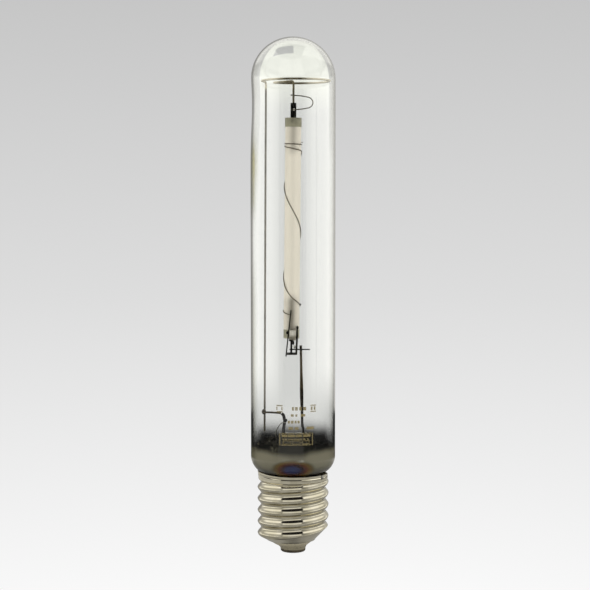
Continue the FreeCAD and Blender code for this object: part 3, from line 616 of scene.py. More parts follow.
@dataclass(frozen=True)
class Alumina:
    """Sintered ceramic, milky and a little translucent, with the electrodes' soft shadows.

    Each painted shadow has its foot, its top and its depth, and lies along the leaning line from
    axis_foot. Painted shade along the core darkens the whole length of that line a little.
    """

    name: str
    body: Colour
    shade: Colour
    shadows: Sequence[Triple] = ()
    core_shade: float = 0.0
    core_shade_half: float = 0.6
    axis_foot: Point = (-0.9 * MM, 118.6 * MM)
    lean: float = 0.00905
    half: float = 2.3 * MM
    soft_end: float = 3 * MM
    shadow_line: float = 0.6
    shadow_wide: float = 0.12
    rough: float = 0.38
    rough_spread: float = 0.2
    grain_scale: float = 1500.0
    grain_share: float = 0.12
    grain_depth: float = 0.01 * MM
    grain_bump: float = 0.4
    cloud_grain: Triple = (200.0, 200.0, 60.0)
    cloud_share: float = 0.16
    cloud_shift: float = 2 * MM

    def material(self) -> bpy.types.Material:
        """Build the finish.

        Returns:
            The material.
        """
        made, sheet = new_material(self.name)
        place = sheet.place()
        grain = sheet.speckle(place["all"], self.grain_scale, detail=3.0)
        cloud = sheet.speckle(sheet.stretched(place["all"], self.cloud_grain), 1.0, detail=3.0)
        share = (cloud - 0.5) * self.cloud_share + (grain - 0.5) * self.grain_share
        height = place["z"] + (cloud - 0.5) * self.cloud_shift
        across = place["x"] - self.axis_foot[0] - (place["z"] - self.axis_foot[1]) * self.lean
        soft = self.soft_end
        # Painted shadows of the electrodes inside the tube.
        for foot, top, depth in self.shadows:
            ends = height.step(foot - soft, foot + soft) * height.step(top + soft, top - soft)
            line = across.bell(0.0, self.half) * self.shadow_line
            share = share + ends * (line + self.shadow_wide) * depth
        # Painted shade along the tube's middle line.
        if self.core_shade > 0:
            share = share + across.bell(0.0, self.half * self.core_shade_half) * self.core_shade
        sheet.surface(sheet.wire("ShaderNodeBsdfPrincipled", values={
            "Base Color": sheet.mix(share.clamped(), self.body, self.shade),
            "Roughness": grain * self.rough_spread + self.rough,
            "Normal": sheet.bump(grain, self.grain_depth, self.grain_bump),
        }))
        return made


@dataclass(frozen=True)
class Ceramic:
    """Moulded or fired mass: cement, insulator or print colour.

    With darkening heights it darkens from the first to the second. Below an alpha of 1 it is
    worn through between its grains.
    """

    name: str
    body: Colour
    fleck: Colour
    rough: float = 0.6
    grain: float = 700.0
    depth: float = 0.03 * MM
    alpha: float = 1.0
    alpha_spread: float = 0.35
    alpha_limits: Point = (0.3, 0.5)
    darkening: Point | None = None
    darkening_share: float = 0.6
    mottle_share: float = 0.6
    rough_spread: float = 0.2
    fleck_limits: Point = (0.5, 0.75)
    fleck_share: float = 0.7
    cloud_coarse: float = 0.2
    cloud_share: float = 0.3
    grain_bump: float = 0.5

    def material(self) -> bpy.types.Material:
        """Build the finish.

        Returns:
            The material.
        """
        made, sheet = new_material(self.name)
        place = sheet.place()
        fine = sheet.speckle(place["all"], self.grain, detail=4.0, rough=0.6)
        cloud = sheet.speckle(place["all"], self.grain * self.cloud_coarse, detail=2.0)
        share = fine.step(*self.fleck_limits) * self.fleck_share + cloud * self.cloud_share
        if self.darkening:
            share = share * self.mottle_share + place["z"].step(*self.darkening) * self.darkening_share
        values = {
            "Base Color": sheet.mix(share.clamped(), self.body, self.fleck),
            "Roughness": fine * self.rough_spread + self.rough,
            "Normal": sheet.bump(fine, self.depth, self.grain_bump),
        }
        if self.alpha < 1.0:
            values["Alpha"] = (fine.step(*self.alpha_limits) * self.alpha_spread + self.alpha).clamped()
        sheet.surface(sheet.wire("ShaderNodeBsdfPrincipled", values=values))
        return made


class Finish(Enum):
    """The finishes of the lamp's pieces."""

    CLEAR_GLASS = Glass("clear_glass", (0.978, 0.99, 0.962), gloss=0.75, edge=1.0)
    STEM_GLASS = Glass("stem_glass", (0.93, 0.94, 0.9), wave=0.01 * MM)
    FILM = GetterFilm()
    ALUMINA = Alumina(
        "alumina", srgb(255, 247, 233), srgb(104, 96, 80),
        ((112 * MM, 141 * MM, 1.0), (220 * MM, 240 * MM, 0.65)), core_shade=0.1)
    PLUG = Alumina("plug_alumina", srgb(164, 161, 138), srgb(100, 97, 79), ((235 * MM, 260 * MM, 1.0),))
    # Painted shade: near black, for the dark surroundings that the grey metal reflects.
    NIOBIUM = Metal("niobium", srgb(36, 37, 32), srgb(16, 16, 13), 0.42, metallic=0.7)
    TUNGSTEN = Metal("tungsten", srgb(90, 90, 86), srgb(46, 46, 42), 0.45)
    # Painted reflections on the hoop: colour stops by height and a pale painted highlight away from the
    # axis.
    NICKEL_WIRE = Metal(
        "nickel_wire", srgb(124, 120, 104), srgb(84, 80, 66), 0.3, metallic=0.75,
        heights=(240 * MM, 262 * MM), light_by_height=(
            (0.0, srgb(134, 128, 112)),
            (0.62, srgb(120, 114, 96)),
            (0.8, srgb(150, 140, 112)),
        ), highlight_colour=srgb(250, 242, 218))
    THIN_WIRE = Metal("thin_wire", srgb(128, 118, 98), srgb(92, 82, 66), 0.4, metallic=0.6)
    DARK_WIRE = Metal("dark_wire", srgb(64, 62, 54), srgb(34, 33, 28), 0.42, metallic=0.8)
    LINK = Metal("link_wire", srgb(86, 74, 48), srgb(46, 38, 24), 0.46, metallic=0.35)
    GETTER = Metal("getter_wire", srgb(150, 148, 140), srgb(110, 108, 100), 0.5, metallic=0.2)
    LEAD = Metal("lead_wire", srgb(24, 22, 19), srgb(12, 11, 9), 0.5, metallic=0.4)
    # Painted reflection: dark and lighter bands along the post, by height.
    POST = Metal(
        "post_steel", srgb(110, 98, 74), srgb(70, 60, 44), 0.42, metallic=0.6, stained=0.25,
        heights=(69 * MM, 115 * MM), light_by_height=(
            (0.0, srgb(18, 16, 13)),
            (0.4, srgb(14, 13, 11)),
            (0.5, srgb(76, 64, 40)),
            (0.88, srgb(104, 96, 78)),
            (0.97, srgb(40, 38, 34)),
        ))
    # Painted highlight on the strip's top bend, by height.
    BIMETAL = Metal(
        "bimetal", srgb(196, 192, 176), srgb(150, 144, 126), 0.3, metallic=0.3, stained=0.2,
        heights=(117 * MM, 125 * MM), light_by_height=(
            (0.1, srgb(96, 90, 76)),
            (0.36, srgb(150, 144, 128)),
            (0.55, srgb(250, 246, 236)),
            (0.8, srgb(244, 240, 230)),
        ))
    AMALGAM = Metal("amalgam", srgb(190, 190, 190), srgb(130, 130, 130), 0.2)
    CAP = Metal(
        "cap_nickel", srgb(229, 223, 203), srgb(200, 193, 166), 0.02, rough_spread=0.05,
        mark_depth=0.004 * MM, grain=(160.0, 160.0, 1400.0))
    CONTACT = Metal("contact_plate", srgb(84, 77, 62), srgb(40, 36, 28), 0.42, metallic=0.7)
    # Painted glint: the weld beads are near white, so they show as bright spots.
    GLINT_BEAD = Metal("weld_bead_glint", srgb(252, 250, 244), srgb(214, 210, 198), 0.25, metallic=0.2)
    SOLDER = Metal("solder", srgb(176, 174, 166), srgb(110, 108, 100), 0.34, mark_depth=0.05 * MM)
    COPPER = Metal("copper_wire", srgb(190, 134, 96), srgb(120, 80, 56), 0.3)
    # The insulator grows darker towards its foot, from 6.6 mm down to 2.2 mm.
    INSULATOR = Ceramic(
        "insulator", srgb(134, 127, 105), srgb(74, 69, 54), 0.36, darkening=(6.6 * MM, 2.2 * MM))
    CEMENT = Ceramic("cement", srgb(176, 168, 152), srgb(130, 120, 104), 0.85)
    PRINT = Ceramic("print_colour", srgb(122, 110, 72), srgb(88, 76, 44), 0.6, alpha=0.32)

    def material(self) -> bpy.types.Material:
        """The finish's material, built once.

        Returns:
            The material.
        """
        name = f"{self.value.name}_finish"
        made = bpy.data.materials.get(name)
        if made is None:
            made = self.value.material()
            made.name = name
        return made


# Meshes

def linked(name: str, mesh: bpy.types.Mesh, body: bmesh.types.BMesh,
           sharp: float | None = None) -> bpy.types.Object:
    """Put a worked body into its mesh and its mesh into the scene, with smooth faces.

    Args:
        name: the piece's name.
        mesh: the mesh that takes the body.
        body: the worked body, which is freed.
        sharp: the angle in degrees from which an edge stays sharp, if any does.

    Returns:
        The object.
    """
    body.to_mesh(mesh)
    body.free()
    mesh.shade_smooth()
    if sharp is not None:
        mesh.set_sharp_from_angle(angle=math.radians(sharp))
    thing = bpy.data.objects.new(name, mesh)
    bpy.context.scene.collection.objects.link(thing)
    return thing


def piece_from(name: str, points: Sequence[Vector], faces: Sequence[Sequence[int]],
               sharp: float = SHARP_ANGLE) -> bpy.types.Object:
    """A closed mesh object with smooth faces and sharp edges past an angle.

    Args:
        name: the piece's name.
        points: its vertices.
        faces: its faces by vertex number.
        sharp: the angle in degrees from which an edge stays sharp.

    Returns:
        The object, linked to the scene.
    """
    mesh = bpy.data.meshes.new(name)
    mesh.from_pydata([tuple(point) for point in points], [], [tuple(face) for face in faces])
    body = bmesh.new()
    body.from_mesh(mesh)
    bmesh.ops.remove_doubles(body, verts=body.verts, dist=MERGE_DISTANCE)
    bmesh.ops.recalc_face_normals(body, faces=body.faces)
    return linked(name, mesh, body, sharp)


def lathe(name: str, profile: Sequence[Point], steps: int, sharp: float = SHARP_ANGLE,
          shift: Callable[[float, float, float], float] | None = None) -> bpy.types.Object:
    """Turn a closed profile about the axis.

    Args:
        name: the piece's name.
        profile: radius and height of each corner of the closed profile.
        steps: columns round the axis.
        sharp: the angle from which an edge stays sharp.
        shift: extra radius at an angle, a radius and a height.

    Returns:
        The turned piece.
    """
    points: list[Vector] = []
    rows: list[list[int]] = []
    for radius, height in profile:
        row = []
        for column in range(steps if radius > MERGE_DISTANCE else 1):
            angle = FULL_TURN * column / steps
            out = radius + (shift(angle, radius, height) if shift else 0.0)
            row.append(len(points))
            points.append(Vector((out * math.cos(angle), out * math.sin(angle), height)))
        rows.append(row)
    faces = []
    for low, high in zip(rows, rows[1:] + rows[:1]):
        if len(low) == 1 and len(high) == 1:
            continue
        for column in range(steps):
            after = (column + 1) % steps
            corners = [low[column % len(low)], low[after % len(low)],
                       high[after % len(high)], high[column % len(high)]]
            faces.append(list(dict.fromkeys(corners)))
    return piece_from(name, points, faces, sharp)


def arc(centre: Point, radius: float, start: float, end: float, steps: int) -> list[Point]:
    """Points of an arc in a profile.

    Args:
        centre: radius and height of its centre.
        radius: its own radius.
        start: its first angle in degrees, from the direction away from the axis.
        end: its last angle.
        steps: the steps between its points.

    Returns:
        Radius and height of each point.
    """
    found = []
    for number in range(steps + 1):
        turn = math.radians(blend_number(start, end, number / steps))
        found.append((centre[0] + radius * math.cos(turn), centre[1] + radius * math.sin(turn)))
    return found


def resampled(profile: Sequence[Point], longest: float) -> list[Point]:
    """Cut the long straight runs of a profile into shorter ones.

    Args:
        profile: radius and height of each corner.
        longest: the length that no run may pass.

    Returns:
        The corners with those between them.
    """
    found: list[Point] = []
    for here, there in zip(profile, profile[1:]):
        pieces = max(1, math.ceil(math.dist(here, there) / longest))
        for share in (number / pieces for number in range(pieces)):
            found.append((blend_number(here[0], there[0], share), blend_number(here[1], there[1], share)))
    found.append(profile[-1])
    return found


def tube(name: str, path: Sequence[Vector], radius: Callable[[float], float] | float) -> bpy.types.Object:
    """Round wire along a path, with closed ends.

    Args:
        name: the piece's name.
        path: points of its middle line.
        radius: its radius, or a function of the share of its length.

    Returns:
        The wire.
    """
    directions = []
    for index in range(len(path)):
        before = path[max(index - 1, 0)]
        after = path[min(index + 1, len(path) - 1)]
        directions.append((after - before).normalized())
    side = directions[0].orthogonal().normalized()
    points: list[Vector] = []
    for index, (point, ahead) in enumerate(zip(path, directions)):
        side = (side - ahead * side.dot(ahead)).normalized()
        other = ahead.cross(side)
        size = radius(index / (len(path) - 1)) if callable(radius) else radius
        for number in range(WIRE_SIDES):
            turn = FULL_TURN * number / WIRE_SIDES
            points.append(point + (side * math.cos(turn) + other * math.sin(turn)) * size)
    faces = []
    last = (len(path) - 1) * WIRE_SIDES
    for row in range(0, last, WIRE_SIDES):
        for number in range(WIRE_SIDES):
            after = (number + 1) % WIRE_SIDES
            faces.append([row + number, row + after, row + WIRE_SIDES + after, row + WIRE_SIDES + number])
    faces.append(list(range(WIRE_SIDES)))
    faces.append([last + number for number in range(WIRE_SIDES)])
    return piece_from(name, points, faces)


def drop(name: str, centre: Triple, size: Triple) -> bpy.types.Object:
    """A small melted drop of weld or solder, a little uneven.

    Args:
        name: the piece's name.
        centre: its middle, in millimetres.
        size: half its size along each axis, in millimetres.

    Returns:
        The drop.
    """
    middle, half = place_mm(*centre), place_mm(*size)
    body = bmesh.new()
    bmesh.ops.create_icosphere(body, subdivisions=3, radius=1.0)
    for vert in body.verts:
        swell = 1 + DROP_UNEVEN * noise.noise(vert.co * DROP_GRAIN + middle * DROP_SEED)
        vert.co = middle + Vector((vert.co[axis] * half[axis] * swell for axis in range(3)))
    return linked(name, bpy.data.meshes.new(name), body)


def curved_patch(name: str, radius: float, thick: float, middle: float, wide: float,
                 low: float, high: float, columns: int) -> bpy.types.Object:
    """A thin closed patch on the bulb's side.

    Args:
        name: the piece's name.
        radius: its outer radius.
        thick: its thickness.
        middle: the angle of its middle from the right, in radians.
        wide: its width along the glass.
        low: its lower edge.
        high: its upper edge.
        columns: steps across.

    Returns:
        The patch.
    """
    points = []
    for column in range(columns + 1):
        angle = middle + wide / radius * (column / columns - 0.5)
        for out, height in ((radius, low), (radius, high), (radius - thick, high), (radius - thick, low)):
            points.append(Vector((out * math.cos(angle), out * math.sin(angle), height)))
    faces = [[0, 1, 2, 3], [columns * 4 + number for number in (3, 2, 1, 0)]]
    for column in range(columns):
        for number in range(4):
            after = (number + 1) % 4
            faces.append([column * 4 + number, column * 4 + after,
                          column * 4 + 4 + after, column * 4 + 4 + number])
    return piece_from(name, points, faces, sharp=30.0)


def joined(name: str, things: Sequence[bpy.types.Object]) -> bpy.types.Object:
    """One object from several.

    Args:
        name: the new piece's name.
        things: the objects that go into it, which are removed.

    Returns:
        The joined piece.
    """
    body = bmesh.new()
    for thing in things:
        body.from_mesh(thing.data)
        bpy.data.objects.remove(thing)
    return linked(name, bpy.data.meshes.new(name), body, SHARP_ANGLE)


def settle(thing: bpy.types.Object, finish: Finish, slot: str, *nodes: str) -> None:
    """Give a new piece its finish, hang it on the root body and hide the nodes that it stands for.

    Args:
        thing: the new piece.
        finish: its finish.
        slot: its material slot in the record; not used.
        nodes: the nodes that it stands for, if any.
    """
    thing.data.materials.clear()
    thing.data.materials.append(finish.material())
    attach(thing, BODY)
    if nodes:
        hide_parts(*nodes)
    LOG.info("%s: %d faces", thing.name, len(thing.data.polygons))


def place_mm(*values: float) -> Vector:
    """A point from its millimetres."""
    return Vector(values) * MM


def bent_path(corners: Sequence[Vector], bend: float) -> list[Vector]:
    """A path through rounded corners.

    Args:
        corners: the ends and the corners of the path.
        bend: the length on each side of a corner over which it is rounded.

    Returns:
        The points of the path.
    """
    path = [corners[0]]
    for before, corner, after in zip(corners, corners[1:], corners[2:]):
        start = corner + (before - corner).normalized() * bend
        end = corner + (after - corner).normalized() * bend
        for share in (number / BEND_STEPS for number in range(BEND_STEPS + 1)):
            path.append(start.lerp(corner, share).lerp(corner.lerp(end, share), share))
    return path + [corners[-1]]


@dataclass
class Frame:
    """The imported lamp: its nodes, and how they get a better finish."""

    nodes: dict[str, bpy.types.Object]

    def dress(self, finish: Finish, *nodes: str) -> None:
        """Give nodes that stay the finish of their real pieces.

        Args:
            finish: the finish.
            nodes: the names of the nodes.
        """
        for node in nodes:
            for slot in self.nodes[node].material_slots:
                slot.material = finish.material()
            LOG.info("%s: dressed as %s", node, finish.value.name)


# Sub-assemblies

@dataclass
class Envelope:
    """The blown bulb, the getter's film inside it and the print on it.

    Each print row has its middle height, its own height and its bars, which each have their
    place to the right and their width, all in millimetres.
    """

    radius: float = 23.24 * MM
    wall: float = 1.1 * MM
    shoulder_round: float = 10.0 * MM
    shoulder_height: float = 53.5 * MM
    neck_radius: float = 15.5 * MM
    neck_round: float = 4.0 * MM
    columns: int = 128
    neck_steps: int = 14
    shoulder_steps: int = 24
    dome_steps: int = 40
    longest_run: float = 6 * MM
    uneven: float = 0.9 * MM
    uneven_height: float = 246.0 * MM
    uneven_reach: float = 17.0 * MM
    uneven_core: float = 5 * MM
    print_proud: float = 0.008 * MM
    print_thick: float = 0.006 * MM
    print_columns: int = 10
    print_rows: Sequence[tuple[float, float, Sequence[Point]]] = (
        (84.2, 0.6, ((-7.4, 3.4), (11.4, 3.4))),
        (82.6, 1.9, ((-8.9, 0.6), (-6.0, 0.6), (0.0, 1.1), (1.8, 1.5), (4.0, 1.2), (6.4, 1.6),
                     (10.4, 1.0), (12.2, 1.0))),
        (80.9, 0.6, ((-7.4, 3.4), (11.4, 3.4))),
        (79.0, 1.3, ((-0.4, 1.6), (1.8, 1.0), (5.4, 2.6))),
        (75.4, 1.5, ((-2.2, 1.2), (-0.4, 1.4), (1.4, 1.0), (3.0, 1.2))),
        (72.0, 1.5, ((-1.2, 2.4), (2.0, 2.0), (9.6, 4.4))),
        (67.9, 1.3, ((-4.6, 3.2), (-0.8, 3.6), (3.2, 3.4), (7.6, 4.2))),
        (66.0, 0.7, ((-5.4, 0.9), (-3.9, 1.2), (-2.2, 0.9), (-0.7, 1.3), (1.0, 0.9), (2.6, 1.3),
                     (4.4, 0.9), (6.2, 1.4), (8.2, 1.0))),
    )
    outlines: Sequence[float] = (-3.4 * MM, 1.8 * MM, 7.0 * MM)
    outline_wide: float = 4.2 * MM
    outline_low: float = 63.3 * MM
    outline_high: float = 65.3 * MM
    outline_line: float = 0.3 * MM
    frame_low: float = 62.6 * MM
    frame_high: float = 69.4 * MM
    frame_middle: float = 1.8 * MM
    frame_wide: float = 18.6 * MM
    frame_line: float = 0.5 * MM

    def side(self, offset: float) -> list[Point]:
        """The bulb's side from the neck's foot to the dome's tip.

        Args:
            offset: how far in from the outer face it lies.

        Returns:
            Radius and height of each point.
        """
        low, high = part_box("outer_bulb")
        radius = self.radius
        bend = (radius - self.shoulder_round, self.shoulder_height)
        throat_x = self.neck_radius + self.neck_round
        spread = self.shoulder_round + self.neck_round
        fall = math.sqrt(spread ** 2 - (throat_x - bend[0]) ** 2)
        throat = (throat_x, bend[1] - fall)
        meet = math.degrees(math.atan2(fall, -(throat_x - bend[0])))
        dome = (0.0, high.z - radius)
        profile = [(self.neck_radius - offset, low.z)]
        profile += arc(throat, self.neck_round + offset, 180, meet, self.neck_steps)
        profile += arc(bend, self.shoulder_round - offset, meet - 180, 0, self.shoulder_steps)[1:]
        profile += arc(dome, radius - offset, 0, 90, self.dome_steps)
        profile[-1] = (0.0, profile[-1][1])
        return resampled(profile, self.longest_run)

    def dent(self, angle: float, radius: float, height: float) -> float:
        """How far the drawn wall runs in on the left below the dome.

        Args:
            angle: the point's angle from the right.
            radius: its distance from the axis.
            height: its height.

        Returns:
            The change of its radius.
        """
        away = (height - self.uneven_height) / self.uneven_reach
        left = max(0.0, -math.cos(angle)) ** 3
        return -self.uneven * left * math.exp(-away * away) * (radius > self.uneven_core)

    def build(self) -> None:
        """Build the glass and the print; the glass's inner face carries the film."""
        outer = self.side(0.0)
        inner = self.side(self.wall)
        bulb = lathe("bulb_glass", outer + inner[::-1], self.columns, shift=self.dent)
        settle(bulb, Finish.CLEAR_GLASS, "clear_glass", "outer_bulb")
        bulb.data.materials.append(Finish.FILM.material())
        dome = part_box("outer_bulb")[1].z - self.radius
        for face in bulb.data.polygons:
            heart = Vector((0.0, 0.0, min(face.center.z, dome)))
            if face.normal.dot(face.center - heart) < 0:
                face.material_index = 1
        self.printed_field()

    def printed_field(self) -> None:
        """Plain bars and an empty frame, printed on the front of the bulb."""
        radius = self.radius + self.print_proud
        patches = []

        def bar(across: float, wide: float, low: float, high: float) -> None:
            """Add one bar.

            Args:
                across: the place of its middle, to the right as seen from the front.
                wide: its width.
                low: its lower edge.
                high: its upper edge.
            """
            angle = across / radius - math.pi / 2
            name = f"bar_{len(patches)}"
            patches.append(curved_patch(
                name, radius, self.print_thick, angle, wide, low, high, self.print_columns))

        def box(middle: float, wide: float, low: float, high: float, line: float) -> None:
            """Add the outline of a box.

            Args:
                middle: the place of its middle.
                wide: its width.
                low: its lower edge.
                high: its upper edge.
                line: the width of its line.
            """
            bar(middle, wide, low, low + line)
            bar(middle, wide, high - line, high)
            for sign in (-1, 1):
                bar(middle + sign * (wide - line) / 2, line, low + line, high - line)

        for height, tall, bars in self.print_rows:
            for across, wide in bars:
                bar(across * MM, wide * MM, height * MM - tall * MM / 2, height * MM + tall * MM / 2)
        box(self.frame_middle, self.frame_wide, self.frame_low, self.frame_high, self.frame_line)
        for middle in self.outlines:
            box(middle, self.outline_wide, self.outline_low, self.outline_high, self.outline_line)
        settle(joined("printed_bars", patches), Finish.PRINT, "contact_metal")


@dataclass
class ScrewCap:
    """The large screw cap: rolled shell, insulator, contact and their joints.

    The base profile has the radius and the height of each corner, in millimetres.
    """

    crest: float = 19.65 * MM
    root: float = 17.85 * MM
    collar: float = 19.2 * MM
    sheet: float = 0.35 * MM
    pitch: float = 6.35 * MM
    first_crest: float = 10.5 * MM
    line_phases: Sequence[float] = (0.11, -0.1, -0.36)
    line_width: float = 0.045
    line_depth: float = 0.045 * MM
    groove_height: float = 43.1 * MM
    groove_width: float = 0.3 * MM
    groove_depth: float = 0.08 * MM
    rim: float = 44.4 * MM
    thread_top: float = 39.5 * MM
    collar_foot: float = 40.9 * MM
    rim_rise: float = 0.9 * MM
    rim_flare: float = 0.4 * MM
    rim_fall: float = 1.4 * MM
    fall_angle: float = math.radians(20.0)
    foot: float = 6.7 * MM
    foot_radius: float = 13.1 * MM
    foot_shift: float = 1.1 * MM
    foot_slope: float = 1.4
    foot_slope_shift: float = 0.45
    lip: float = 0.28 * MM
    lip_height: float = 0.5 * MM
    notch_angle: float = math.radians(-33.5)
    notch_width: float = 1.4 * MM
    notch_height: float = 2.6 * MM
    columns: int = 128
    rows: int = 330
    collar_rows: int = 14
    sharp: float = 50.0
    base_columns: int = 96
    base_lean_foot: float = 1.7 * MM
    base_lean_height: float = 4.6 * MM
    base_profile: Sequence[Point] = (
        (1.3, 1.62), (6.9, 1.62), (7.5, 2.7), (8.4, 3.5), (10.7, 4.7), (13.2, 6.3), (13.2, 7.0),
        (12.7, 7.4), (12.7, 10.8), (1.3, 10.8))

    def wave(self, phase: float) -> float:
        """Depth of the rolled thread below its crest at a phase in turns."""
        return (self.crest - self.root) * (0.5 - 0.5 * math.cos(FULL_TURN * phase))

    def lines(self, phase: float) -> float:
        """Depth of the fine lines that the rollers left beside the crest.

        Args:
            phase: the place between two crests, in turns.

        Returns:
            The depth.
        """
        found = 0.0
        for middle in self.line_phases:
            away = (phase - middle + 0.5) % 1.0 - 0.5
            found += self.line_depth * math.exp(-(away / self.line_width) ** 2)
        return found

    def radius_at(self, angle: float, height: float) -> float:
        """Outer radius of the level shell.

        Args:
            angle: the angle from the right.
            height: the height.

        Returns:
            The radius of the thread, the collar or the cone at the foot, whichever shows.
        """
        turns = ((angle - math.pi) / FULL_TURN) % 1.0
        phase = (height - self.first_crest) / self.pitch - turns
        thread = self.crest - self.wave(phase) - self.lines(phase)
        top = ease((height - self.thread_top) / (self.collar_foot - self.thread_top))
        radius = blend_number(thread, self.collar, top)
        radius -= self.groove_depth * math.exp(-((height - self.groove_height) / self.groove_width) ** 2)
        cone = self.foot_radius - self.foot_shift * math.cos(angle)
        cone += (height - self.foot) * (self.foot_slope - self.foot_slope_shift * math.cos(angle))
        cone += self.lip * math.exp(-((height - self.foot) / self.lip_height) ** 2)
        return min(radius, cone)

    def askew(self, angle: float, radius: float, height: float) -> Point:
        """Where a point of the shell goes: the rim is higher and wider at the left.

        Args:
            angle: the point's angle from the right.
            radius: its distance from the axis.
            height: its height on a level shell.

        Returns:
            Its radius and its height on the askew shell.
        """
        share = ease((height - self.collar_foot) / (self.rim - self.collar_foot))
        left = max(0.0, -math.cos(angle)) ** 2
        right = max(0.0, math.cos(angle - self.fall_angle)) ** 4
        height += (self.rim_rise * left - self.rim_fall * right) * share
        return radius + self.rim_flare * left * share, height

    def build_shell(self) -> None:
        """The shell: both faces of the rolled sheet as one grid, with the notch cut out."""
        heights = [blend_number(self.foot, self.collar_foot, row / self.rows) for row in range(self.rows)]
        heights += [blend_number(self.collar_foot, self.rim, row / self.collar_rows)
                    for row in range(self.collar_rows + 1)]
        points: list[Vector] = []
        for inner in (0.0, self.sheet):
            for height in heights:
                for column in range(self.columns):
                    angle = FULL_TURN * column / self.columns
                    radius, rise = self.askew(angle, self.radius_at(angle, height) - inner, height)
                    points.append(Vector((radius * math.cos(angle), radius * math.sin(angle), rise)))
        layer = len(heights) * self.columns

        def gone(row: int, column: int) -> bool:
            """Whether a cell lies in the notch.

            Args:
                row: the cell's row from the foot.
                column: its column from the right.

            Returns:
                True in the notch.
            """
            middle = FULL_TURN * (column + 0.5) / self.columns
            away = math.remainder(middle - self.notch_angle, FULL_TURN)
            deep = (heights[row] + heights[row + 1]) / 2 > self.rim - self.notch_height
            return deep and abs(away) * self.collar < self.notch_width / 2

        faces = []
        for row in range(len(heights) - 1):
            for column in range(self.columns):
                if gone(row, column):
                    continue
                after = (column + 1) % self.columns
                cell = [row * self.columns + column, row * self.columns + after,
                        (row + 1) * self.columns + after, (row + 1) * self.columns + column]
                faces.append(cell)
                faces.append([corner + layer for corner in reversed(cell)])
        edges: dict[tuple[int, int], int] = {}
        for face in faces:
            for start, end in zip(face, face[1:] + face[:1]):
                key = (min(start, end), max(start, end))
                edges[key] = edges.get(key, 0) + 1
        for (start, end), count in edges.items():
            if count == 1 and start < layer and end < layer:
                faces.append([start, end, end + layer, start + layer])
        used = sorted({corner for face in faces for corner in face})
        number = {old: new for new, old in enumerate(used)}
        faces = [[number[corner] for corner in face] for face in faces]
        shell = piece_from("rolled_shell", [points[old] for old in used], faces, self.sharp)
        settle(shell, Finish.CAP, "cap_nickel", "screw_shell")

    def build_base(self) -> None:
        """The moulded insulator, a little askew towards the left like the shell's foot."""
        profile = [(radius * MM, height * MM) for radius, height in self.base_profile]
        hole = profile[0][0]

        def pulled_in(angle: float, radius: float, height: float) -> float:
            """How far the rim is pulled in on the right.

            Args:
                angle: the point's angle from the right.
                radius: its distance from the axis.
                height: its height.

            Returns:
                The change of its radius.
            """
            share = ease((height - self.base_lean_foot) / self.base_lean_height)
            return -self.foot_shift * (1 + math.cos(angle)) * share if radius > hole else 0.0

        base = lathe("cap_base", profile, self.base_columns, self.sharp, pulled_in)
        settle(base, Finish.INSULATOR, "insulator", "cap_insulator")

    def build(self, frame: Frame) -> None:
        """Build the shell and the insulator, and dress the rest of the cap.

        Args:
            frame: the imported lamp.
        """
        self.build_shell()
        self.build_base()
        frame.dress(Finish.CEMENT, "basing_cement")
        frame.dress(Finish.CONTACT, "centre_contact")
        frame.dress(Finish.SOLDER, "centre_solder", "rim_solder")
        frame.dress(Finish.COPPER, "contact_lead", "shell_lead")


@dataclass
class StemMount:
    """The pressed stem, its leads and the getter; its points are in millimetres."""

    lead_radius: float = 0.86 * MM
    lead_bend: float = 0.6 * MM
    lead_path: Sequence[Triple] = (
        (-5.2, 0, 47.1), (-5.2, 0, 68.5), (-4.6, 0, 72.6), (-5.2, 0, 75.8), (-6.3, 0.1, 76.8))
    burr: Triple = (-3.9, -0.3, 73.0)
    burr_size: Triple = (0.8, 0.7, 0.9)

    def build(self, frame: Frame) -> None:
        """Build the left lead and dress the stem's other pieces.

        Args:
            frame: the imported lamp.
        """
        path = bent_path([place_mm(*point) for point in self.lead_path], self.lead_bend)
        lead = joined("left_lead", [
            tube("lead_wire", path, self.lead_radius),
            drop("lead_burr", self.burr, self.burr_size),
        ])
        settle(lead, Finish.LEAD, "dark_wire", "stem_lead_left")
        frame.dress(Finish.STEM_GLASS, "stem", "exhaust_tube")
        frame.dress(Finish.LEAD, "stem_lead_right")
        frame.dress(Finish.DARK_WIRE, "getter_ring")
        frame.dress(Finish.GETTER, "getter_wire")


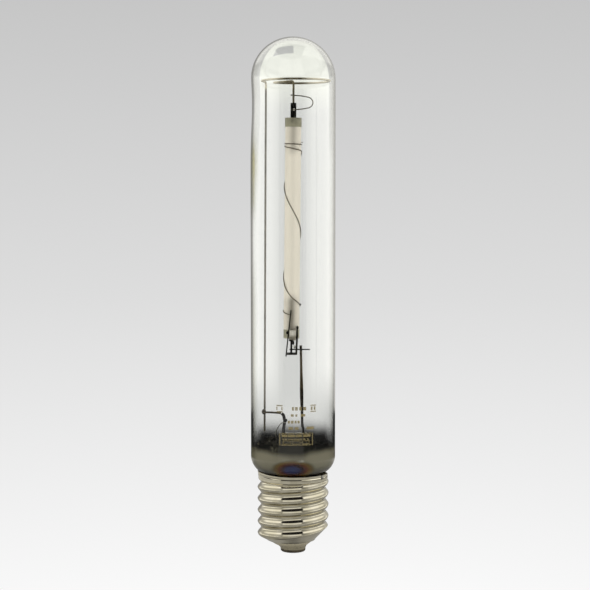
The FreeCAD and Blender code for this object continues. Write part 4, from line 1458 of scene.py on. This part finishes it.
@dataclass
class FrameWire:
    """The frame wire with its hoop, the cross wire and the looped link.

    Its points are in millimetres, and the hoop's angles in degrees from the left.
    """

    rod_radius: float = 0.58 * MM
    rod_foot: Triple = (-16.1, 8.21, 65.6)
    rise_run: float = -2 * MM
    rise_bend: float = 1.9 * MM
    hoop_middle: Triple = (1.6, 0.0, 259.1)
    hoop_radius: float = 18.5 * MM
    hoop_angles: Point = (-20.0, 308.0)
    hoop_steps: int = 72
    hoop_bent: int = 3
    fall_run: float = 1.8 * MM
    fall_bend: float = 1.7 * MM
    pin_top: Triple = (0.267, 0.0, 259.1)
    pin_foot: Triple = (0.267, 0.0, 241.6)
    link_radius: float = 0.55 * MM
    link_bend: float = 2.0 * MM
    link_path: Sequence[Triple] = ((-16.9, 7.6, 76.3), (-12.0, 3.9, 76.8), (-6.9, 0.2, 76.95))
    knot: Triple = (-16.4, 7.5, 76.6)
    knot_size: Triple = (1.25, 1.0, 1.5)

    def on_hoop(self, angle: float, beyond: float = 0.0) -> Vector:
        """A point of the hoop.

        Args:
            angle: its angle from the left, in degrees.
            beyond: how far it lies on from there, straight along the hoop's direction.

        Returns:
            The point.
        """
        turn = math.radians(angle)
        out = Vector((-math.cos(turn), -math.sin(turn), 0.0)) * self.hoop_radius
        return place_mm(*self.hoop_middle) + out + Vector((math.sin(turn), -math.cos(turn), 0.0)) * beyond

    def rod_path(self) -> list[Vector]:
        """The frame wire's middle line: upright run, hoop and pin.

        Returns:
            Its points.
        """
        first, last = self.hoop_angles
        hoop = [self.on_hoop(blend_number(first, last, step / self.hoop_steps))
                for step in range(self.hoop_steps + 1)]
        entry = self.on_hoop(first, self.rise_run)
        rise = bent_path([place_mm(*self.rod_foot), entry, hoop[self.hoop_bent]], self.rise_bend)
        leaving = self.on_hoop(last, self.fall_run)
        pin = [place_mm(*self.pin_top), place_mm(*self.pin_foot)]
        fall = bent_path([hoop[-1], leaving, *pin], self.fall_bend)
        return rise[:-1] + hoop[self.hoop_bent:-1] + fall

    def build(self, frame: Frame) -> None:
        """Build the frame wire and the cross wire with its weld, and dress the link.

        Args:
            frame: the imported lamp.
        """
        rod = tube("frame_wire", self.rod_path(), self.rod_radius)
        settle(rod, Finish.NICKEL_WIRE, "frame_nickel", "frame_rod")
        path = bent_path([place_mm(*point) for point in self.link_path], self.link_bend)
        link = joined("cross_wire", [
            tube("link_wire", path, self.link_radius),
            drop("link_weld", self.knot, self.knot_size),
        ])
        settle(link, Finish.LINK, "frame_nickel", "frame_link")
        frame.dress(Finish.NICKEL_WIRE, "flexible_link")


@dataclass
class ArcTube:
    """The ceramic arc tube with its plugs, feedthroughs, electrodes and wire.

    Its points are in millimetres.
    """

    weld: Triple = (0.45, -1.75, 243.5)
    weld_size: Triple = (0.6, 0.4, 0.6)
    wire_end: Triple = (3.95, -1.5, 137.3)
    wire_end_size: Triple = (0.5, 0.4, 0.5)

    def build(self, frame: Frame) -> None:
        """Build the weld on the upper tube and dress the arc tube's pieces.

        Args:
            frame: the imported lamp.
        """
        settle(drop("upper_weld", self.weld, self.weld_size), Finish.GLINT_BEAD, "frame_nickel")
        settle(drop("wire_kink", self.wire_end, self.wire_end_size), Finish.DARK_WIRE, "dark_wire")
        frame.dress(Finish.ALUMINA, "arc_tube")
        frame.dress(Finish.PLUG, "upper_end_plug", "lower_end_plug")
        frame.dress(Finish.NIOBIUM, "upper_feedthrough", "lower_feedthrough")
        frame.dress(Finish.TUNGSTEN, "upper_electrode", "lower_electrode")
        frame.dress(Finish.AMALGAM, "amalgam_dose")
        frame.dress(Finish.THIN_WIRE, "starting_wire")


@dataclass
class LowerMount:
    """What carries the arc tube's lower end: post, cross rod, bracket, strip and arm.

    Its points are in millimetres. Each knot has its middle and its size.
    """

    post_foot: Triple = (5.1, 1.6, 69.05)
    post_top: Triple = (4.3, 1.6, 114.35)
    post_radius: float = 0.68 * MM
    post_steps: int = 40
    post_swell: float = 0.3 * MM
    post_swell_place: float = 0.42
    post_swell_width: float = 0.2
    welds: Sequence[Triple] = ((0.75, -1.0, 117.9), (0.75, -1.0, 113.8))
    weld_size: Triple = (0.62, 0.5, 0.95)
    knots: Sequence[tuple[Triple, Triple]] = (
        ((-3.05, -4.7, 122.0), (0.75, 0.6, 0.9)),
        ((-1.15, -5.0, 117.7), (1.2, 0.5, 0.42)),
        ((0.1, -4.9, 116.5), (0.62, 0.5, 1.2)),
        ((2.5, -3.6, 124.6), (0.62, 0.6, 1.0)),
    )
    leg: Sequence[Triple] = ((1.85, -3.4, 110.5), (2.35, -3.4, 121.2))
    leg_radius: float = 0.46 * MM

    def thick(self, share: float) -> float:
        """The post's radius at a share of its length, a little swollen partway up."""
        away = (share - self.post_swell_place) / self.post_swell_width
        return self.post_radius + self.post_swell * math.exp(-away ** 2)

    def build(self, frame: Frame) -> None:
        """Build the post, the welds and the straps, and dress the lower mount's other pieces.

        Args:
            frame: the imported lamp.
        """
        foot, top = place_mm(*self.post_foot), place_mm(*self.post_top)
        path = [foot.lerp(top, step / self.post_steps) for step in range(self.post_steps + 1)]
        settle(tube("right_post", path, self.thick), Finish.POST, "post_steel", "arc_post")
        beads = [drop(f"bead_{number}", place, self.weld_size) for number, place in enumerate(self.welds)]
        settle(joined("lower_welds", beads), Finish.GLINT_BEAD, "frame_nickel")
        straps = [drop(f"knot_{number}", place, size) for number, (place, size) in enumerate(self.knots)]
        straps.append(tube("leg", [place_mm(*point) for point in self.leg], self.leg_radius))
        settle(joined("bracket_straps", straps), Finish.LEAD, "dark_wire")
        frame.dress(Finish.DARK_WIRE, "cross_rod", "starting_arm", "lower_bracket")
        frame.dress(Finish.BIMETAL, "bimetal_strip")


# Studio

@dataclass(frozen=True)
class Reflections:
    """Brightness of the studio in a reflection, by its direction from the lamp.

    Two broad soft boxes stand left and right and meet the bright ceiling. The strip between
    them, from the camera's side to overhead, is dark but for one window. The floor is dimmer.

    Up, aside and ahead are the direction's parts along Z, X and Y, and turned is its angle
    from the camera's side. A pair of numbers is where a step begins and ends.
    """

    heart: float = 90 * MM
    box_turned: Point = (0.5, 1.25)
    box_level: float = 0.6
    box_rise: float = 0.85
    rear_turned: Point = (2.1, 2.7)
    rear_aside: Point = (-0.2, 0.2)
    rear_level: float = 0.32
    rear_rise: float = 0.22
    floor_up: Point = (-0.98, -0.9)
    floor_level: float = 0.18
    floor_rise: float = 0.12
    floor_glow: Point = (-0.3, 0.06)
    floor_glow_level: float = 0.3
    floor_end: Point = (-0.21, -0.245)
    floor_least: float = 0.03
    edge_ahead: Point = (0.95, 0.8)
    edge_sharp: Point = (-0.157, -0.145)
    edge_soft: Point = (-0.17, -0.1)
    dim_up: Point = (0.14, 0.2)
    dim_ahead: Point = (0.85, 0.6)
    dim_share: float = 0.6
    roof_lean: float = 0.5
    roof_up: Point = (0.68, 0.76)
    roof_ahead: Point = (0.9, 0.7)
    roof_level: float = 1.2
    strip_aside: float = 0.08
    strip_half: float = 0.24
    strip_widen: float = 0.31
    strip_widen_up: Point = (-1.0, -0.4)
    strip_narrow: float = 0.14
    strip_narrow_up: Point = (0.3, 0.8)
    strip_edge: Point = (-0.02, 0.02)
    strip_ahead: Point = (0.33, 0.23)
    under_up: Point = (-0.98, -0.92)
    under_level: float = 0.12
    under_rise: float = 0.33
    under_gap: Point = (-0.6, 0.08)
    under_gap_depth: float = 0.6
    window_foot: Point = (0.17, 0.22)
    window_top: Point = (0.85, 0.79)
    window_level: float = 0.78
    window_least: float = 0.015
    window_from: Point = (-0.17, -0.13)

    def brightness(self, sheet: NodeSheet, place: Mapping[str, Wire], across: Wire) -> Wire:
        """Add the nodes of the brightness.

        Args:
            sheet: the nodes to add to.
            place: the point's place.
            across: its distance from the axis.

        Returns:
            The brightness.
        """
        rise = place["z"] - self.heart
        far = (across * across + rise * rise) ** 0.5
        aside, ahead, up = place["x"] / far, place["y"] / far, rise / far
        turned = sheet.wire("ShaderNodeMath", {"operation": "ARCTAN2"},
                            {0: place["x"], 1: place["y"] * -1.0}).size()
        rear = aside.step(*self.rear_aside) * self.rear_rise + self.rear_level
        front = turned.step(*self.box_turned) * self.box_rise + self.box_level
        boxes = sheet.blend(turned.step(*self.rear_turned), front, rear)
        floor = up.step(*self.floor_up) * self.floor_rise + self.floor_level
        floor = floor + up.bell(*self.floor_glow) * self.floor_glow_level
        floor = floor * up.step(*self.floor_end) + self.floor_least
        edge = sheet.blend(
            ahead.step(*self.edge_ahead), up.step(*self.edge_sharp), up.step(*self.edge_soft))
        side = sheet.blend(edge, floor, boxes)
        side = side * (1.0 - up.step(*self.dim_up) * ahead.step(*self.dim_ahead) * self.dim_share)
        roof = (up + ahead * self.roof_lean).step(*self.roof_up) * ahead.step(*self.roof_ahead)
        bright = sheet.blend(roof, side, self.roof_level)
        half = up.step(*self.strip_widen_up) * self.strip_widen + self.strip_half
        half = half - up.step(*self.strip_narrow_up) * self.strip_narrow
        strip = (half - (aside + self.strip_aside).size()).step(*self.strip_edge)
        strip = strip * ahead.step(*self.strip_ahead)
        under = up.step(*self.under_up) * self.under_rise + self.under_level
        under = under * (1.0 - up.bell(*self.under_gap) * self.under_gap_depth)
        window = up.step(*self.window_foot) * up.step(*self.window_top) * self.window_level
        dark = sheet.blend(up.step(*self.window_from), under, window + self.window_least)
        return sheet.blend(strip, bright, dark)


@dataclass
class Studio:
    """Pale floor that runs up into a round wall, two soft lights and the camera.

    The levels are screen levels. Seen levels are those behind the lamp. Through the glass a
    ray meets the dome's light, a grey gap below it and a grey band round both. A slope is the
    rise of a point of the bowl over its distance ahead of the camera.
    """

    floor: float = -100 * MM
    flat_radius: float = 1.3
    wall_radius: float = 2.2
    wall_top: float = 1.8
    bend_steps: int = 16
    wall_steps: int = 24
    columns: int = 96
    seen_top: float = 198
    seen_middle: float = 221
    seen_bottom: float = 250
    seen_slopes: Point = (0.264, 0.121)
    seen_middle_share: float = 0.507
    through_level: float = 226
    dome_light: Colour = srgb(250, 251, 244)
    dome_slope: Point = (0.045, 0.075)
    gap_level: float = 206
    gap_left: Point = (-0.125, -0.105)
    gap_right: Point = (0.003, -0.003)
    gap_low: Point = (0.11, 0.114)
    gap_high: Point = (0.15, 0.138)
    band_level: float = 200
    band_left: Point = (-0.22, -0.25)
    band_right: Point = (0.26, 0.29)
    band_top: Point = (0.23, 0.26)
    band_foot: Point = (0.015, 0.035)
    ambient: Colour = (1.3, 1.29, 1.25)
    mirror_tint: Colour = (1.0, 0.985, 0.95)
    reflections: Reflections = Reflections()
    camera_place: Triple = (0.001087, -0.845, 0.2004)
    camera_pitch: float = math.radians(3.932)
    focal_pixels: float = 1541.04
    sensor: float = 36.0
    light_angle: float = math.radians(65)
    light_distance: float = 0.6
    light_height: float = 0.17
    light_size: Point = (0.69, 0.8)
    light_power: float = 4.0
    light_tint: Colour = (1.0, 0.985, 0.955)
    light_aim: Triple = (0.0, 0.0, 0.13)
    bounces: int = 24
    glass_bounces: int = 20

    def backdrop_material(self) -> bpy.types.Material:
        """Light that the bowl gives to the camera, through glass and in reflections.

        Returns:
            The material.
        """
        made, sheet = new_material("studio_paper")
        place = sheet.place()
        across = (place["x"] * place["x"] + place["y"] * place["y"]) ** 0.5
        slope = (place["z"] - self.camera_place[2]) / (across - self.camera_place[1])
        below, above = self.seen_slopes
        share = (slope + below) / (below + above)
        seen = sheet.ramp(share.clamped(), (
            (0.0, grey(self.seen_bottom)),
            (self.seen_middle_share, grey(self.seen_middle)),
            (1.0, grey(self.seen_top)),
        ))
        path = sheet.node("ShaderNodeLightPath")

        def ray(name: str) -> Wire:
            """Whether a ray is, or has been, of one kind."""
            return Wire(sheet, path.outputs[name]).at_most(1.0)

        brightness = self.reflections.brightness(sheet, place, across)
        mirrored = sheet.mix(1.0, brightness, self.mirror_tint, "MULTIPLY")
        through = sheet.mix(slope.step(*self.dome_slope), grey(self.through_level), self.dome_light)
        gap = place["x"].step(*self.gap_left) * place["x"].step(*self.gap_right)
        gap = gap * slope.step(*self.gap_low) * slope.step(*self.gap_high)
        through = sheet.mix(gap, through, grey(self.gap_level))
        band = place["x"].step(*self.band_left).at_least(place["x"].step(*self.band_right))
        band = band.at_least(slope.step(*self.band_top)) * slope.step(*self.band_foot)
        through = sheet.mix(band, through, grey(self.band_level))
        colour = sheet.mix(ray("Diffuse Depth"), through, self.ambient)
        colour = sheet.mix(ray("Glossy Depth"), colour, mirrored)
        colour = sheet.mix(ray("Is Camera Ray"), colour, seen)
        glow = sheet.wire("ShaderNodeEmission", values={"Color": colour, "Strength": 1.0})
        behind = sheet.wire("ShaderNodeNewGeometry", out="Backfacing")
        clear = sheet.wire("ShaderNodeBsdfTransparent")
        sheet.surface(sheet.wire("ShaderNodeMixShader", values={0: behind, 1: glow, 2: clear}))
        return made

    def build_bowl(self) -> None:
        """The floor and the wall as one turned sheet."""
        bend = self.wall_radius - self.flat_radius
        profile = [(0.0, self.floor), (self.flat_radius, self.floor)]
        profile += arc((self.flat_radius, self.floor + bend), bend, -90, 0, self.bend_steps)[1:]
        profile += arc((0.0, self.wall_top), self.wall_radius, 0, 90, self.wall_steps)
        profile[-1] = (0.0, profile[-1][1])
        bowl = lathe("studio_bowl", profile, self.columns)
        bowl.data.flip_normals()
        bowl.data.materials.append(self.backdrop_material())
        bowl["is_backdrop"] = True

    def build_lights(self) -> None:
        """Two large soft lights, left and right of the camera."""
        for name, side in (("soft_light_left", -1), ("soft_light_right", 1)):
            data = bpy.data.lights.new(name, "AREA")
            data.shape = "RECTANGLE"
            data.size, data.size_y = self.light_size
            data.energy = self.light_power
            data.color = self.light_tint
            lamp = bpy.data.objects.new(name, data)
            angle = self.light_angle * side
            place = Vector((math.sin(angle), -math.cos(angle), 0.0)) * self.light_distance
            place.z = self.light_height
            lamp.location = place
            lamp.rotation_euler = (Vector(self.light_aim) - place).to_track_quat("-Z", "Y").to_euler()
            lamp.visible_camera = False
            lamp.visible_transmission = False
            lamp.visible_glossy = False
            bpy.context.scene.collection.objects.link(lamp)

    def build_camera(self) -> None:
        """The camera at the photograph's place."""
        data = bpy.data.cameras.new("camera")
        data.sensor_width = self.sensor
        data.lens = self.focal_pixels * self.sensor / IMAGE_SIDE
        camera = bpy.data.objects.new("camera", data)
        camera.location = self.camera_place
        camera.rotation_euler = (math.pi / 2 - self.camera_pitch, 0.0, 0.0)
        bpy.context.scene.collection.objects.link(camera)
        bpy.context.scene.camera = camera

    def build(self) -> None:
        """Build the studio, with enough bounces for light through the glass."""
        scene = bpy.context.scene
        scene.view_settings.view_transform = "Standard"
        scene.cycles.max_bounces = self.bounces
        scene.cycles.transmission_bounces = self.glass_bounces
        scene.cycles.transparent_max_bounces = self.bounces
        self.build_bowl()
        self.build_lights()
        self.build_camera()


def corners() -> list[list[float]]:
    """The box of all that shows, as plain lists."""
    return [list(corner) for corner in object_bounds()]


def main() -> None:
    """Build the lamp's looks round its frame, from the glass inwards, and then the studio."""
    logging.basicConfig(level=logging.INFO, format="%(name)s: %(message)s")
    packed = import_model()
    frame = Frame(packed["nodes"])
    Envelope().build()
    StemMount().build(frame)
    FrameWire().build(frame)
    ArcTube().build(frame)
    LowerMount().build(frame)
    ScrewCap().build(frame)
    Studio().build()


if __name__ == "__main__":
    main()
